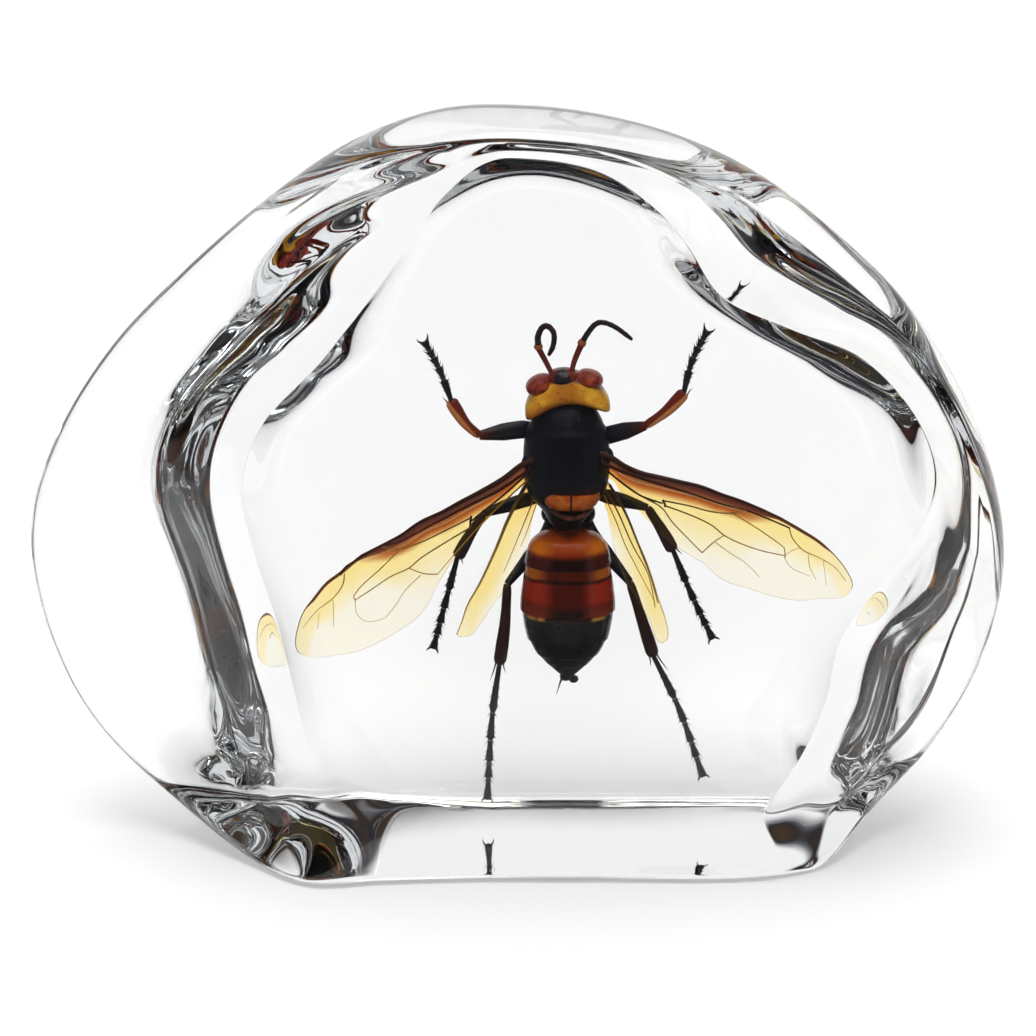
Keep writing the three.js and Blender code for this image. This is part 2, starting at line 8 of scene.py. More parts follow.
import bpy
import numpy as np
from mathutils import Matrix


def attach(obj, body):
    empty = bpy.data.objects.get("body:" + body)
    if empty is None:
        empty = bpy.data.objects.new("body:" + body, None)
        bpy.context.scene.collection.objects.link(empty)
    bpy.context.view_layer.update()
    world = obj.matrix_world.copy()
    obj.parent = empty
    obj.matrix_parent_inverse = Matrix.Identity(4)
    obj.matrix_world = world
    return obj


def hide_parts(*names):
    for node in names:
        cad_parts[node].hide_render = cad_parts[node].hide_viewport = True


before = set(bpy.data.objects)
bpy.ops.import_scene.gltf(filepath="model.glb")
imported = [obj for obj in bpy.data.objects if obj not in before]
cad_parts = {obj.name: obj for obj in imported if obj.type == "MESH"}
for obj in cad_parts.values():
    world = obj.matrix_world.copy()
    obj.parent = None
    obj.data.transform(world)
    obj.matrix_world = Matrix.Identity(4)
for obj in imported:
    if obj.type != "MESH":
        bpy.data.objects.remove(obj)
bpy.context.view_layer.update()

# ---- driving dimensions, as the part's source has them

THICKNESS = 28.0
LEAN = math.radians(8)
WINDOW_CENTRE = np.array([8.0, 42.0])
BACK_CENTRE = np.array([2.0, 38.0])

BASE_EDGE_FRONT = 1.2
BASE_EDGE_BACK = 1.5
RIM_INSET_FRONT = 3.5
RIM_INSET_BACK = 4.0
RIM_SHARE_FRONT = 0.45
RIM_SHARE_BACK = 0.45
BASE_BLEND_HEIGHT = 8.0
NARROW_LEDGE = 1.5
BROAD_LEDGE = 8.0
FRONT_WALL = {"rounding": 0.35, "ease": 1.4}
BACK_WALL = {"rounding": 1.5, "ease": 1.3}

# Clockwise from the top: the ridge round the window (x, z), the rim beside it (x, z), the front wall's drop
# and length, the edge of the back's flat (x, z), and the back wall's drop and length.
STATIONS = np.array([
    [1, 79, 1, 81.6, 0.6, 2.7, 1, 69.7, 7.5, 9.9],
    [8.5, 77.6, 10.2, 80.5, 1.4, 2.7, 7.5, 68.8, 8.3, 9.9],
    [14.4, 73.8, 18.9, 77.9, 4.6, 5.4, 12.5, 66.2, 9, 11],
    [18, 69.6, 26.9, 73.8, 9.2, 9.5, 15.3, 61.3, 10.5, 12.1],
    [21.8, 64.3, 34.6, 68.1, 10.4, 12.2, 19, 57.6, 12, 12.1],
    [29, 61, 42, 61.2, 9.2, 12.2, 24.5, 54.2, 11.3, 11],
    [36.5, 58, 47.5, 53.5, 6.3, 9.5, 31.4, 50.6, 9, 9.9],
    [42.3, 52, 51.1, 46.5, 5.2, 8.1, 36.8, 46.3, 7.5, 9.9],
    [44.7, 45.5, 53.4, 39.3, 4.6, 8.1, 39.2, 40.3, 7.5, 9.9],
    [43.3, 39.3, 54.3, 32.5, 6.3, 9.5, 39.1, 34.8, 8.3, 11],
    [38.8, 33.2, 53.9, 26.3, 9.2, 12.2, 37.1, 29.3, 10.5, 13.2],
    [35, 27.3, 52.2, 20, 10.9, 13.5, 34.8, 24.6, 12.6, 14.3],
    [33.5, 20.5, 49.3, 14.3, 10.9, 13.5, 32.7, 19.4, 13.5, 14.3],
    [30.8, 14, 45.2, 8.4, 9.8, 12.2, 31.1, 14.1, 12, 13.2],
    [27, 8, 39.7, 3.8, 6.9, 10.8, 29.6, 9.5, 7.5, 9.9],
    [28, 3.4, 33, 0, 2.3, 4, 29.5, 2.6, 1, 5],
    [22, 2.2, 24, 0, 0, 2, 22, 2, 0, 4],
    [9, 2.4, 9, 0, 0, 2, 9, 2, 0, 4],
    [4.6, 7, 3.5, 0, 0, 4, 3.5, 2, 0, 4],
    [-4, 9.4, -5, 0, 0, 6, -5, 2, 0, 4],
    [-13, 10.3, -15, 0, -0.6, 7, -13, 2.6, 0.8, 5],
    [-19.2, 11.8, -23.5, 0, -1.2, 10.8, -17, 7.6, 3, 7.7],
    [-22.7, 15.8, -31.4, 1.1, 4.6, 12.2, -20.1, 11.8, 7.5, 9.9],
    [-24.3, 21.5, -40.9, 5.9, 10.4, 13.5, -22.8, 18.2, 12.6, 13.2],
    [-26, 29, -48.8, 14.5, 11.5, 14.8, -24.3, 26, 13.5, 14.3],
    [-28.4, 37, -53.5, 25.5, 11.5, 14.8, -26.2, 33.4, 12.6, 14.3],
    [-29.6, 44, -54.4, 36, 10.9, 14.8, -26.4, 38.5, 12, 14.3],
    [-27.3, 50.8, -51.1, 45.9, 10.9, 14.8, -24.7, 43.8, 12, 14.3],
    [-21, 57.5, -45, 55.3, 10.9, 14.8, -19.9, 48.5, 12, 14.3],
    [-16, 63.8, -37.3, 63.2, 10.9, 14.8, -14.9, 53, 12, 14.3],
    [-11.7, 69.6, -28.3, 70.9, 9.8, 14.8, -11.8, 60.3, 11.3, 14.3],
    [-8, 74.8, -18.8, 77.4, 5.8, 10.8, -8, 65.6, 9, 12.1],
    [-3.6, 78.4, -8.8, 81.1, 1.8, 5.4, -3.6, 68.8, 7.5, 11],
])

BODY_DEPTH = 19.8
WING_DEPTH = 17.2

# ---- dimensions that only the dressed part has

# Rings of the window and of the back's flat, as shares of the way from the middle to the edge.
WINDOW_RINGS = (0.3, 0.8, 0.97, 0.992)
BACK_RINGS = (0.97, 0.8, 0.3)
# The power that crowds the front wall's rings towards its ridge.
RING_CROWDING = 1.7
# The swells on the walls: their height, the waves round the block, and for each wall their pace along it in
# radians a millimetre and how far those waves, and waves half as long, push their crests to and fro.
SWELL_HEIGHT = 0.3
WAVES_ROUND = 5
FRONT_SWELL = (0.75, 1.5, 0.9)
BACK_SWELL = (0.6, 1.2, 0.8)

HEAD_MIDDLE = 5.3
THORAX_MIDDLE = 5.4
SCUTELLUM_MIDDLE = 5.9
ABDOMEN_MIDDLE = 5.6
HIND_WING_DEPTH = 18.3
# The veins on the fore wings stand this far in front of the film.
VEIN_RISE = 0.04

# ---- numbers and curves


def smoothstep(x, low, high):
    """0 below low, 1 above high, 3t^2 - 2t^3 between."""
    t = np.clip((x - low) / (high - low), 0, 1)
    return t * t * (3 - 2 * t)


def catmull_rom(knots, at, closed):
    """Rows of knots joined by a Catmull-Rom spline, read at places counted in knots."""
    count = len(knots)
    i = np.floor(at).astype(int)
    if not closed:
        i = np.minimum(i, count - 2)
    t = (at - i)[:, None]
    around = i[None] + np.array([-1, 0, 1, 2])[:, None]
    a, b, c, d = knots[around % count if closed else np.clip(around, 0, count - 1)]
    return b + 0.5 * t * (c - a + t * (2 * a - 5 * b + 4 * c - d + t * (3 * (b - c) + d - a)))


def along(points, shares):
    """Places on the smooth line through the points, by their shares of its length."""
    points = np.asarray(points, float)
    fine = catmull_rom(points, np.linspace(0, len(points) - 1, 400), False)
    run = np.concatenate([[0], np.cumsum(np.linalg.norm(np.diff(fine, axis=0), axis=1))])
    return np.column_stack([np.interp(np.asarray(shares) * run[-1], run, axis) for axis in fine.T])


def eased(knots, count):
    """Smooth (z, half width) pairs through a few knots, at even places between them."""
    return catmull_rom(np.asarray(knots, float), np.linspace(0, len(knots) - 1, count), False)


# ---- meshes


def skin(grid):
    """Points and faces over rings of points (ring, step round, xyz), closed by a middle point at each end."""
    rings, steps, _ = grid.shape
    ring, step = np.meshgrid(np.arange(rings - 1), np.arange(steps), indexing="ij")
    here = ring * steps + step
    beside = ring * steps + (step + 1) % steps
    faces = np.stack([here, beside, beside + steps, here + steps], axis=-1).reshape(-1, 4).tolist()
    first, last = rings * steps, rings * steps + 1
    points = np.vstack([grid.reshape(-1, 3), grid[0].mean(0), grid[-1].mean(0)])
    turn = np.arange(steps)
    after = (turn + 1) % steps
    end = (rings - 1) * steps
    faces += np.stack([after, turn, np.full(steps, first)], axis=-1).tolist()
    faces += np.stack([turn + end, after + end, np.full(steps, last)], axis=-1).tolist()
    return points, outwards(points, faces)


def outwards(points, faces):
    """The same faces, all turned over if the skin's signed volume is negative."""
    fans = np.array([(f[0], f[i], f[i + 1]) for f in faces for i in range(1, len(f) - 1)])
    a, b, c = points[fans[:, 0]], points[fans[:, 1]], points[fans[:, 2]]
    volume = np.einsum("ij,ij->i", a, np.cross(b, c)).sum()
    return faces if volume > 0 else [face[::-1] for face in faces]


def toned(shape, tone):
    """A skin whose every point has the same tone."""
    points, faces = shape
    return points, faces, np.full(len(points), float(tone))


def joined(pieces):
    """Several (points, faces, tone) skins as one; the tone is 0 where a skin has none."""
    points, faces, tones, start = [], [], [], 0
    for piece_points, piece_faces, *tone in pieces:
        points.append(piece_points)
        faces += [[corner + start for corner in face] for face in piece_faces]
        tones.append(tone[0] if tone else np.zeros(len(piece_points)))
        start += len(piece_points)
    return np.vstack(points), faces, np.concatenate(tones)


def tube(line, radii, steps=14, flat=1.0):
    """A closed skin round a line: rings of the given radii, squashed in depth by flat, square to the line."""
    line = np.asarray(line, float)
    tangent = np.gradient(line, axis=0)
    tangent /= np.linalg.norm(tangent, axis=1)[:, None]
    across = np.cross(tangent, [0.0, 1.0, 0.0])
    across /= np.linalg.norm(across, axis=1)[:, None]
    up = np.cross(across, tangent)
    turn = np.linspace(0, 2 * np.pi, steps, endpoint=False)[None, :, None]
    radii = np.asarray(radii, float)[:, None, None]
    return skin(line[:, None] + radii * (np.cos(turn) * across[:, None] + flat * np.sin(turn) * up[:, None]))


def limb(points, profile, count=28, steps=14, flat=1.0):
    """A tube along a smooth line whose radius follows a profile of (share, radius) knots."""
    shares = np.linspace(0, 1, count)
    knots = np.asarray(profile, float)
    radii = np.interp(shares, knots[:, 0], knots[:, 1])
    return tube(along(points, shares), radii, steps, flat)


def ringed(points, start, end, rings):
    """A feeler's whip: a tube that tapers from start to end in radius, and dips at every ring's end."""
    shares = np.linspace(0, 1, rings * 8 + 1)
    place = (shares * rings) % 1
    taper = np.interp(shares, [0, 0.9, 1], [start, end, 0.6 * end])
    dip = 0.16 * np.exp(-((place - 0.5) ** 2 - 0.25) ** 2 * 160)
    return tube(along(points, shares), taper * (1 - dip), 14)


def rounded(wave, power):
    """A sine or cosine as a superellipse of this power has it."""
    return np.sign(wave) * np.abs(wave) ** (2.0 / power)


def dome(centre, radii, roll=0.0, power=2.0, rings=28, steps=40, bend=0.0):
    """An egg-like superellipsoid, its ends bent down by bend, rolled in degrees about the depth axis."""
    up = np.linspace(-np.pi / 2, np.pi / 2, rings)[1:-1, None]
    turn = np.linspace(0, 2 * np.pi, steps, endpoint=False)[None, :]
    x = radii[0] * rounded(np.cos(up), power) * rounded(np.cos(turn), power)
    y = radii[1] * rounded(np.cos(up), power) * rounded(np.sin(turn), power)
    z = radii[2] * rounded(np.sin(up), power) - bend * (x / radii[0]) ** 2
    cosine, sine = math.cos(math.radians(roll)), math.sin(math.radians(roll))
    grid = [centre[0] + x * cosine + z * sine, centre[1] + y, centre[2] - x * sine + z * cosine]
    return skin(np.stack(grid, axis=-1))


def trunk(profile, middle, flat, steps=72, power=2.2):
    """A body section: superellipses stacked along z, their half widths read from (z, half width) knots."""
    z, half = np.asarray(profile, float).T[:, :, None]
    turn = np.linspace(0, 2 * np.pi, steps, endpoint=False)
    x = middle + half * rounded(np.cos(turn), power)
    y = BODY_DEPTH + flat * half * rounded(np.sin(turn), power)
    return skin(np.stack([x, y, z + 0 * x], axis=-1))


# ---- the resin block's shape


def leaned(points):
    """Points of the upright frame, each moved back by its height times the lean's slope."""
    out = np.array(points, float)
    out[:, 1] += out[:, 2] * math.tan(LEAN)
    return out


def wall_depth(gone, drop, length, rounding, ease):
    """Depth at a distance from a ridge: steep after the ridge's rounding, level at the wall's length."""
    started = gone * gone / (gone + 2 * rounding)
    return drop * (1 - (1 - np.minimum(started / length, 1)) ** ease)


def block_grid(columns=594, wall_rings=40, rim_rings=14):
    """The resin block's skin as a grid of rings.

    From the middle of the window to its ridge the skin is flat. From the ridge a wall falls to a level shelf.
    Two quarter ellipses make the rim, and the back has a wall and a flat too. Round the base the curves are
    tight, so the side is flat at z = 0.
    """
    station = catmull_rom(STATIONS, np.linspace(0, len(STATIONS), columns, endpoint=False), True)
    ridge, rim, drop, wall = station[:, 0:2], station[:, 2:4], station[:, 4], station[:, 5]
    rim[:, 1] = np.maximum(rim[:, 1], 0)
    back_ridge, back_drop, back_wall = station[:, 6:8], np.maximum(station[:, 8], 0), station[:, 9]
    lift = smoothstep(rim[:, 1], 0, BASE_BLEND_HEIGHT)
    ledge = np.linalg.norm(rim - ridge, axis=1)
    back_ledge = np.linalg.norm(rim - back_ridge, axis=1)
    breadth = smoothstep(ledge, NARROW_LEDGE, BROAD_LEDGE)
    depth = THICKNESS - drop - back_drop
    front_width = BASE_EDGE_FRONT + (np.minimum(RIM_INSET_FRONT, ledge / 2) - BASE_EDGE_FRONT) * lift
    front_depth = BASE_EDGE_FRONT + (RIM_SHARE_FRONT * depth - BASE_EDGE_FRONT) * lift * breadth
    back_width = BASE_EDGE_BACK + (np.minimum(RIM_INSET_BACK, back_ledge / 2) - BASE_EDGE_BACK) * lift
    back_depth = BASE_EDGE_BACK + (RIM_SHARE_BACK * depth - BASE_EDGE_BACK) * lift
    reach, back_reach = ledge - front_width, back_ledge - back_width
    turn = np.linspace(0, 2 * math.pi, columns, endpoint=False)

    def ring(start, end, share, depth):
        """A ring at a share of the way from start to end, each an (x, z) for every column."""
        place = start + (end - start) * np.reshape(share, (-1, 1))
        return np.column_stack([place[:, 0], np.broadcast_to(depth, columns), place[:, 1]])

    def swell(share, reach, pace, first, second):
        """A shallow hand-poured swell on a wall and its shelf, none at their edges or by the base."""
        wander = first * np.sin(WAVES_ROUND * turn) + second * np.cos(2 * WAVES_ROUND * turn)
        return SWELL_HEIGHT * np.sin(pace * (1 - share) * reach + wander) * np.sin(math.pi * share) * lift

    rings = [ring(WINDOW_CENTRE, ridge, share, 0.0) for share in WINDOW_RINGS]
    for share in np.linspace(0, 1, wall_rings) ** RING_CROWDING:
        fall = wall_depth(share * reach, drop, np.minimum(wall, reach), **FRONT_WALL)
        rings.append(ring(ridge, rim, share * reach / ledge, fall + swell(share, reach, *FRONT_SWELL)))
    for angle in np.linspace(0, math.pi / 2, rim_rings)[1:]:
        share = 1 - front_width / ledge * (1 - math.sin(angle))
        rings.append(ring(ridge, rim, share, drop + front_depth * (1 - math.cos(angle))))
    for angle in np.linspace(0, math.pi / 2, rim_rings)[:-1]:
        share = 1 - back_width / back_ledge * (1 - math.cos(angle))
        rings.append(ring(back_ridge, rim, share, THICKNESS - back_drop - back_depth * (1 - math.sin(angle))))
    for share in np.linspace(1, 0, wall_rings):
        fall = wall_depth(share * back_reach, back_drop, np.minimum(back_wall, back_reach), **BACK_WALL)
        fall = fall + swell(share, back_reach, *BACK_SWELL)
        rings.append(ring(back_ridge, rim, share * back_reach / back_ledge, THICKNESS - fall))
    rings += [ring(BACK_CENTRE, back_ridge, share, THICKNESS) for share in BACK_RINGS]
    return np.stack(rings)


BLOCK_GRID = block_grid()
BLOCK_LEANED = leaned(BLOCK_GRID.reshape(-1, 3))
MIDDLE = (BLOCK_LEANED.min(0) + BLOCK_LEANED.max(0)) / 2
MIDDLE[2] = 0.0


def placed(points):
    """Millimetres in the upright frame to metres in the row frame."""
    return (leaned(points) - MIDDLE) * 0.001


def add_piece(name, shape, finish, replaced=("hornet",), layers=None):
    """A finished piece from (points, faces) or (points, faces, tone), which stands for CAD nodes."""
    points, faces = shape[:2]
    layers = dict(layers or {})
    if len(shape) == 3:
        layers["tone"] = shape[2]
    mesh = bpy.data.meshes.new(name)
    mesh.from_pydata(placed(points).tolist(), [], faces)
    mesh.polygons.foreach_set("use_smooth", np.ones(len(faces), bool))
    for layer, values in layers.items():
        mesh.attributes.new(layer, "FLOAT", "POINT").data.foreach_set("value", np.asarray(values, np.float32))
    mesh.materials.append(finish)
    mesh.update()
    piece = bpy.data.objects.new(name, mesh)
    bpy.context.scene.collection.objects.link(piece)
    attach(piece, "root")
    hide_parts(*replaced)
    return piece


# ---- finishes

RESIN_IOR = 1.49
RESIN_TINT = (0.30, 0.36, 0.40)
RESIN_DENSITY = 4.7
# A shell's reflections are weak, because resin bends light nearly as much as it does. PIT_DEPTH is its pits'
# depth in metres, and PIT_ROUGHNESS how much they change its roughness.
SHELL_SPECULAR = 0.1
SHINE_ROUGHNESS = 0.15
PIT_DEPTH = 0.0001
PIT_ROUGHNESS = 0.25


class Value:
    """A number in a shader: arithmetic on it adds Math nodes."""

    def __init__(self, finish, socket):
        self.finish, self.socket = finish, socket

    def __add__(self, other):
        return self.finish.maths("ADD", self, other)

    def __sub__(self, other):
        return self.finish.maths("SUBTRACT", self, other)

    def __rsub__(self, other):
        return self.finish.maths("SUBTRACT", other, self)

    def __mul__(self, other):
        return self.finish.maths("MULTIPLY", self, other)

    def __truediv__(self, other):
        return self.finish.maths("DIVIDE", self, other)

    def __rtruediv__(self, other):
        return self.finish.maths("DIVIDE", other, self)

    def __abs__(self):
        return self.finish.maths("ABSOLUTE", self)

    __radd__ = __add__
    __rmul__ = __mul__


class Finish:
    """A node tree under construction, of a material or of the world."""

    def __init__(self, owner):
        owner.use_nodes = True
        self.owner, self.tree = owner, owner.node_tree
        self.tree.nodes.clear()

    def feed(self, socket, value):
        """Link a value or a socket to this socket, or set a number or a colour on it."""
        if isinstance(value, Value):
            value = value.socket
        if isinstance(value, bpy.types.NodeSocket):
            self.tree.links.new(value, socket)
        else:
            socket.default_value = (*value, 1.0) if socket.type == "RGBA" else value

    def node(self, kind, settings=None, inputs=None):
        """A node of this type: its settings first, then what its sockets get."""
        made = self.tree.nodes.new(kind)
        for name, setting in (settings or {}).items():
            setattr(made, name, setting)
        for name, value in (inputs or {}).items():
            self.feed(made.inputs[name], value)
        return made

    def maths(self, operation, first, second=0.0):
        made = self.node("ShaderNodeMath", {"operation": operation}, {0: first, 1: second})
        return Value(self, made.outputs[0])

    def most(self, first, *others):
        """The greatest of these values."""
        for other in others:
            first = self.maths("MAXIMUM", first, other)
        return first

    def step(self, value, low, high):
        """0 below low, 1 above high, smooth between."""
        settings = {"interpolation_type": "SMOOTHSTEP"}
        inputs = {"Value": value, "From Min": low, "From Max": high}
        return Value(self, self.node("ShaderNodeMapRange", settings, inputs).outputs["Result"])

    def blend(self, share, first, second):
        """Two colours mixed; the share is how much there is of the second."""
        made = self.node("ShaderNodeMix", {"data_type": "RGBA"}, {"Factor": share})
        for socket, colour in zip([s for s in made.inputs if s.type == "RGBA"], (first, second)):
            self.feed(socket, colour)
        return next(s for s in made.outputs if s.type == "RGBA")

    def axes(self, kind="Object"):
        """The point, and its x, y and z."""
        spot = self.node("ShaderNodeTexCoord").outputs[kind]
        split = self.node("ShaderNodeSeparateXYZ", None, {0: spot})
        return spot, [Value(self, split.outputs[axis]) for axis in "XYZ"]

    def upright(self):
        """The point in the row frame, and its x and z in millimetres in the block's upright frame."""
        spot, (x, _, z) = self.axes()
        return spot, x * 1000 + float(MIDDLE[0]), z * 1000

    def noise(self, spot, scale, detail=3.0):
        inputs = {"Vector": spot, "Scale": scale, "Detail": detail}
        return Value(self, self.node("ShaderNodeTexNoise", None, inputs).outputs["Fac"])

    def mottled(self, spot, scale, first, second, low=0.35, high=0.7):
        """Two colours in blotches."""
        return self.blend(self.step(self.noise(spot, scale), low, high), first, second)

    def layer(self, name):
        """A number that the mesh carries at each point."""
        return Value(self, self.node("ShaderNodeAttribute", {"attribute_name": name}).outputs["Fac"])

    def bump(self, height, strength, distance):
        inputs = {"Height": height, "Strength": strength, "Distance": distance}
        return self.node("ShaderNodeBump", None, inputs).outputs[0]

    def shell(self, **inputs):
        """A Principled shader; a socket's name has _ for its spaces."""
        inputs = {name.replace("_", " "): value for name, value in inputs.items()}
        return self.node("ShaderNodeBsdfPrincipled", None, inputs).outputs[0]

    def film(self, colour):
        """A clear film that lets this colour through."""
        return self.node("ShaderNodeBsdfTransparent", None, {"Color": colour}).outputs[0]

    def mix(self, share, first, second):
        """Two shaders mixed; the share is how much there is of the second."""
        return self.node("ShaderNodeMixShader", None, {0: share, 1: first, 2: second}).outputs[0]

    def surface(self, shader, **others):
        """The material, with this shader on its surface."""
        self.node("ShaderNodeOutputMaterial", None, {"Surface": shader, **others})
        return self.owner


def clear_resin():
    """Colourless casting resin, which takes a trace of warmth out of the light over its depth."""
    finish = Finish(bpy.data.materials.new("clear_resin"))
    shader = finish.shell(Base_Color=(1.0, 1.0, 1.0), Roughness=0.0, IOR=RESIN_IOR, Transmission_Weight=1.0)
    fade = finish.node("ShaderNodeVolumeAbsorption", None, {"Color": RESIN_TINT, "Density": RESIN_DENSITY})
    return finish.surface(shader, Volume=fade.outputs[0])


def chitin(name, colour, roughness, grain=2.2, relief=0.12, coat=0.12):
    """A horny shell: a colour worked out by the function given, fine pits, and a soft shine."""
    finish = Finish(bpy.data.materials.new(name))
    spot, across, height = finish.upright()
    pits = finish.noise(spot, grain * 1000, 2.0)
    return finish.surface(finish.shell(
        Base_Color=colour(finish, spot, across, height),
        Roughness=roughness + PIT_ROUGHNESS * (pits - 0.5),
        Normal=finish.bump(pits, relief, PIT_DEPTH),
        Coat_Weight=coat,
        Coat_Roughness=SHINE_ROUGHNESS,
        Specular_IOR_Level=SHELL_SPECULAR,
    ))


def head_colour(finish, spot, across, height):
    """Yellow, browned in the middle, along the lower edge and in specks; a dark brow between the eyes."""
    mottle = finish.noise(spot, 900, 4.0)
    off = across - HEAD_MIDDLE
    middle = 1 - finish.step(abs(off), 0.6, 2.9)
    low = 1 - finish.step(height + 0.1 * off * off, 48.7, 49.7)
    specks = finish.step(finish.noise(spot, 2600, 2.0), 0.6, 0.7)
    brown = finish.most(middle * 0.75, low * 0.85) * (0.5 + 0.9 * mottle) + 0.4 * specks
    yellow = finish.blend(finish.step(mottle, 0.35, 0.65), (0.78, 0.32, 0.02), (0.95, 0.50, 0.045))
    face = finish.blend(finish.maths("MINIMUM", brown, 1.0), yellow, (0.36, 0.085, 0.010))
    brow = finish.step(height + 0.075 * off * off, 50.95, 51.3)
    return finish.blend(brow, face, (0.10, 0.014, 0.008))


def brow_colour(finish, spot, across, height):
    """Black round the simple eyes, red-brown further out."""
    off, up = across - HEAD_MIDDLE + 0.4, height - 51.4
    rim = finish.step(off * off + up * up, 0.6, 1.2)
    return finish.blend(rim, (0.004, 0.004, 0.006), (0.14, 0.018, 0.010))


def eye_colour(finish, spot, across, height):
    """Dark red, lighter in blotches."""
    return finish.mottled(spot, 1400, (0.16, 0.014, 0.007), (0.36, 0.055, 0.022))


def ocelli_colour(finish, spot, across, height):
    """Black glass with a brown tinge in spots."""
    return finish.mottled(spot, 2600, (0.008, 0.010, 0.018), (0.030, 0.014, 0.010), 0.4)


def thorax_colour(finish, spot, across, height):
    """Black with a cold cast, browner towards the waist."""
    low = 1 - finish.step(height, 35.2, 37.4)
    return finish.blend(low * 0.8, (0.0015, 0.0018, 0.004), (0.007, 0.004, 0.003))


def scutellum_colour(finish, spot, across, height):
    """Orange below a straight upper edge, parted by a dark line, dark again at its lower rim."""
    orange = finish.mottled(spot, 1100, (0.36, 0.06, 0.008), (0.52, 0.13, 0.018))
    parting = 1 - finish.step(abs(across - SCUTELLUM_MIDDLE), 0.06, 0.17)
    upper = finish.step(height, 38.75, 38.95)
    lower = 1 - finish.step(height, 36.85, 37.15)
    return finish.blend(finish.most(upper, lower, parting), orange, (0.012, 0.004, 0.004))


def metanotum_colour(finish, spot, across, height):
    """Dark brown, redder in blotches."""
    return finish.mottled(spot, 1300, (0.035, 0.012, 0.008), (0.12, 0.035, 0.014))


def abdomen_colour(finish, spot, across, height):
    """Bands from the waist down: amber with a painted highlight at each side, a dark ring, tawny, red-brown
    going dark, side flecks, black.
    """
    off = abs(across - ABDOMEN_MIDDLE)
    side = finish.step(off, 1.2, 3.6)
    cloud = finish.noise(spot, 320)
    wavy = height + 0.5 * (cloud - 0.5)
    ember = finish.blend(finish.step(wavy, 31.6, 33.0), (0.18, 0.018, 0.003), (0.37, 0.052, 0.004))
    # Painted highlight: the amber turns bright yellow-orange at each side near its top, where the light
    # falls.
    painted_side_highlight = side * finish.step(wavy, 31.6, 32.3) * (1 - finish.step(wavy, 32.9, 33.5))
    amber = finish.blend(painted_side_highlight, ember, (0.66, 0.17, 0.010))
    collared = finish.blend(finish.step(wavy - 0.22 * off, 33.1, 33.8), amber, (0.05, 0.007, 0.004))
    ring = finish.blend(side, (0.010, 0.002, 0.002), (0.05, 0.006, 0.003))
    tawny = finish.blend(finish.step(off, 2.0, 4.2), (0.07, 0.008, 0.002), (0.46, 0.11, 0.012))
    red = finish.blend(side * finish.step(wavy, 25.6, 27.2), (0.060, 0.006, 0.003), (0.30, 0.020, 0.005))
    dusk = finish.blend(side, (0.010, 0.003, 0.002), (0.17, 0.016, 0.004))
    flecked = finish.step(off, 2.4, 3.0) * (1 - finish.step(off, 4.5, 4.9)) * finish.step(cloud, 0.42, 0.5)
    fleck = finish.blend(flecked, (0.02, 0.006, 0.003), (0.55, 0.25, 0.06))
    colour = collared
    for place, low, high, below in (
        (wavy, 31.3, 32.0, ring),
        (height, 30.15, 30.3, tawny),
        (wavy, 29.0, 29.3, ring),
        (wavy, 28.6, 28.9, red),
        (wavy, 25.5, 26.6, dusk),
        (height, 24.9, 25.1, fleck),
        (height, 24.4, 24.7, (0.002, 0.002, 0.0015)),
    ):
        colour = finish.blend(1 - finish.step(place, low, high), colour, below)
    return colour


def leg_colour(finish, spot, across, height):
    """Blue-black where tone is 0, dark brown at 1, red-brown at 2 and pale orange at 3."""
    tone = finish.layer("tone")
    blotch = finish.noise(spot, 1500) - 0.5
    dark = finish.blend(finish.step(tone, 0.0, 1.0), (0.006, 0.007, 0.012), (0.022, 0.010, 0.008))
    warm = finish.blend(finish.step(tone + 0.4 * blotch, 1.0, 2.0), dark, (0.13, 0.018, 0.010))
    return finish.blend(finish.step(tone + 0.3 * blotch, 2.1, 3.0), warm, (0.62, 0.22, 0.07))


def vein_colour(finish, spot, across, height):
    """Dark brown where tone is 0, olive at 1, pale straw at 2."""
    tone = finish.layer("tone")
    first = finish.blend(finish.step(tone, 0.0, 1.0), (0.030, 0.008, 0.004), (0.38, 0.20, 0.03))
    return finish.blend(finish.step(tone, 1.0, 2.0), first, (0.90, 0.72, 0.34))


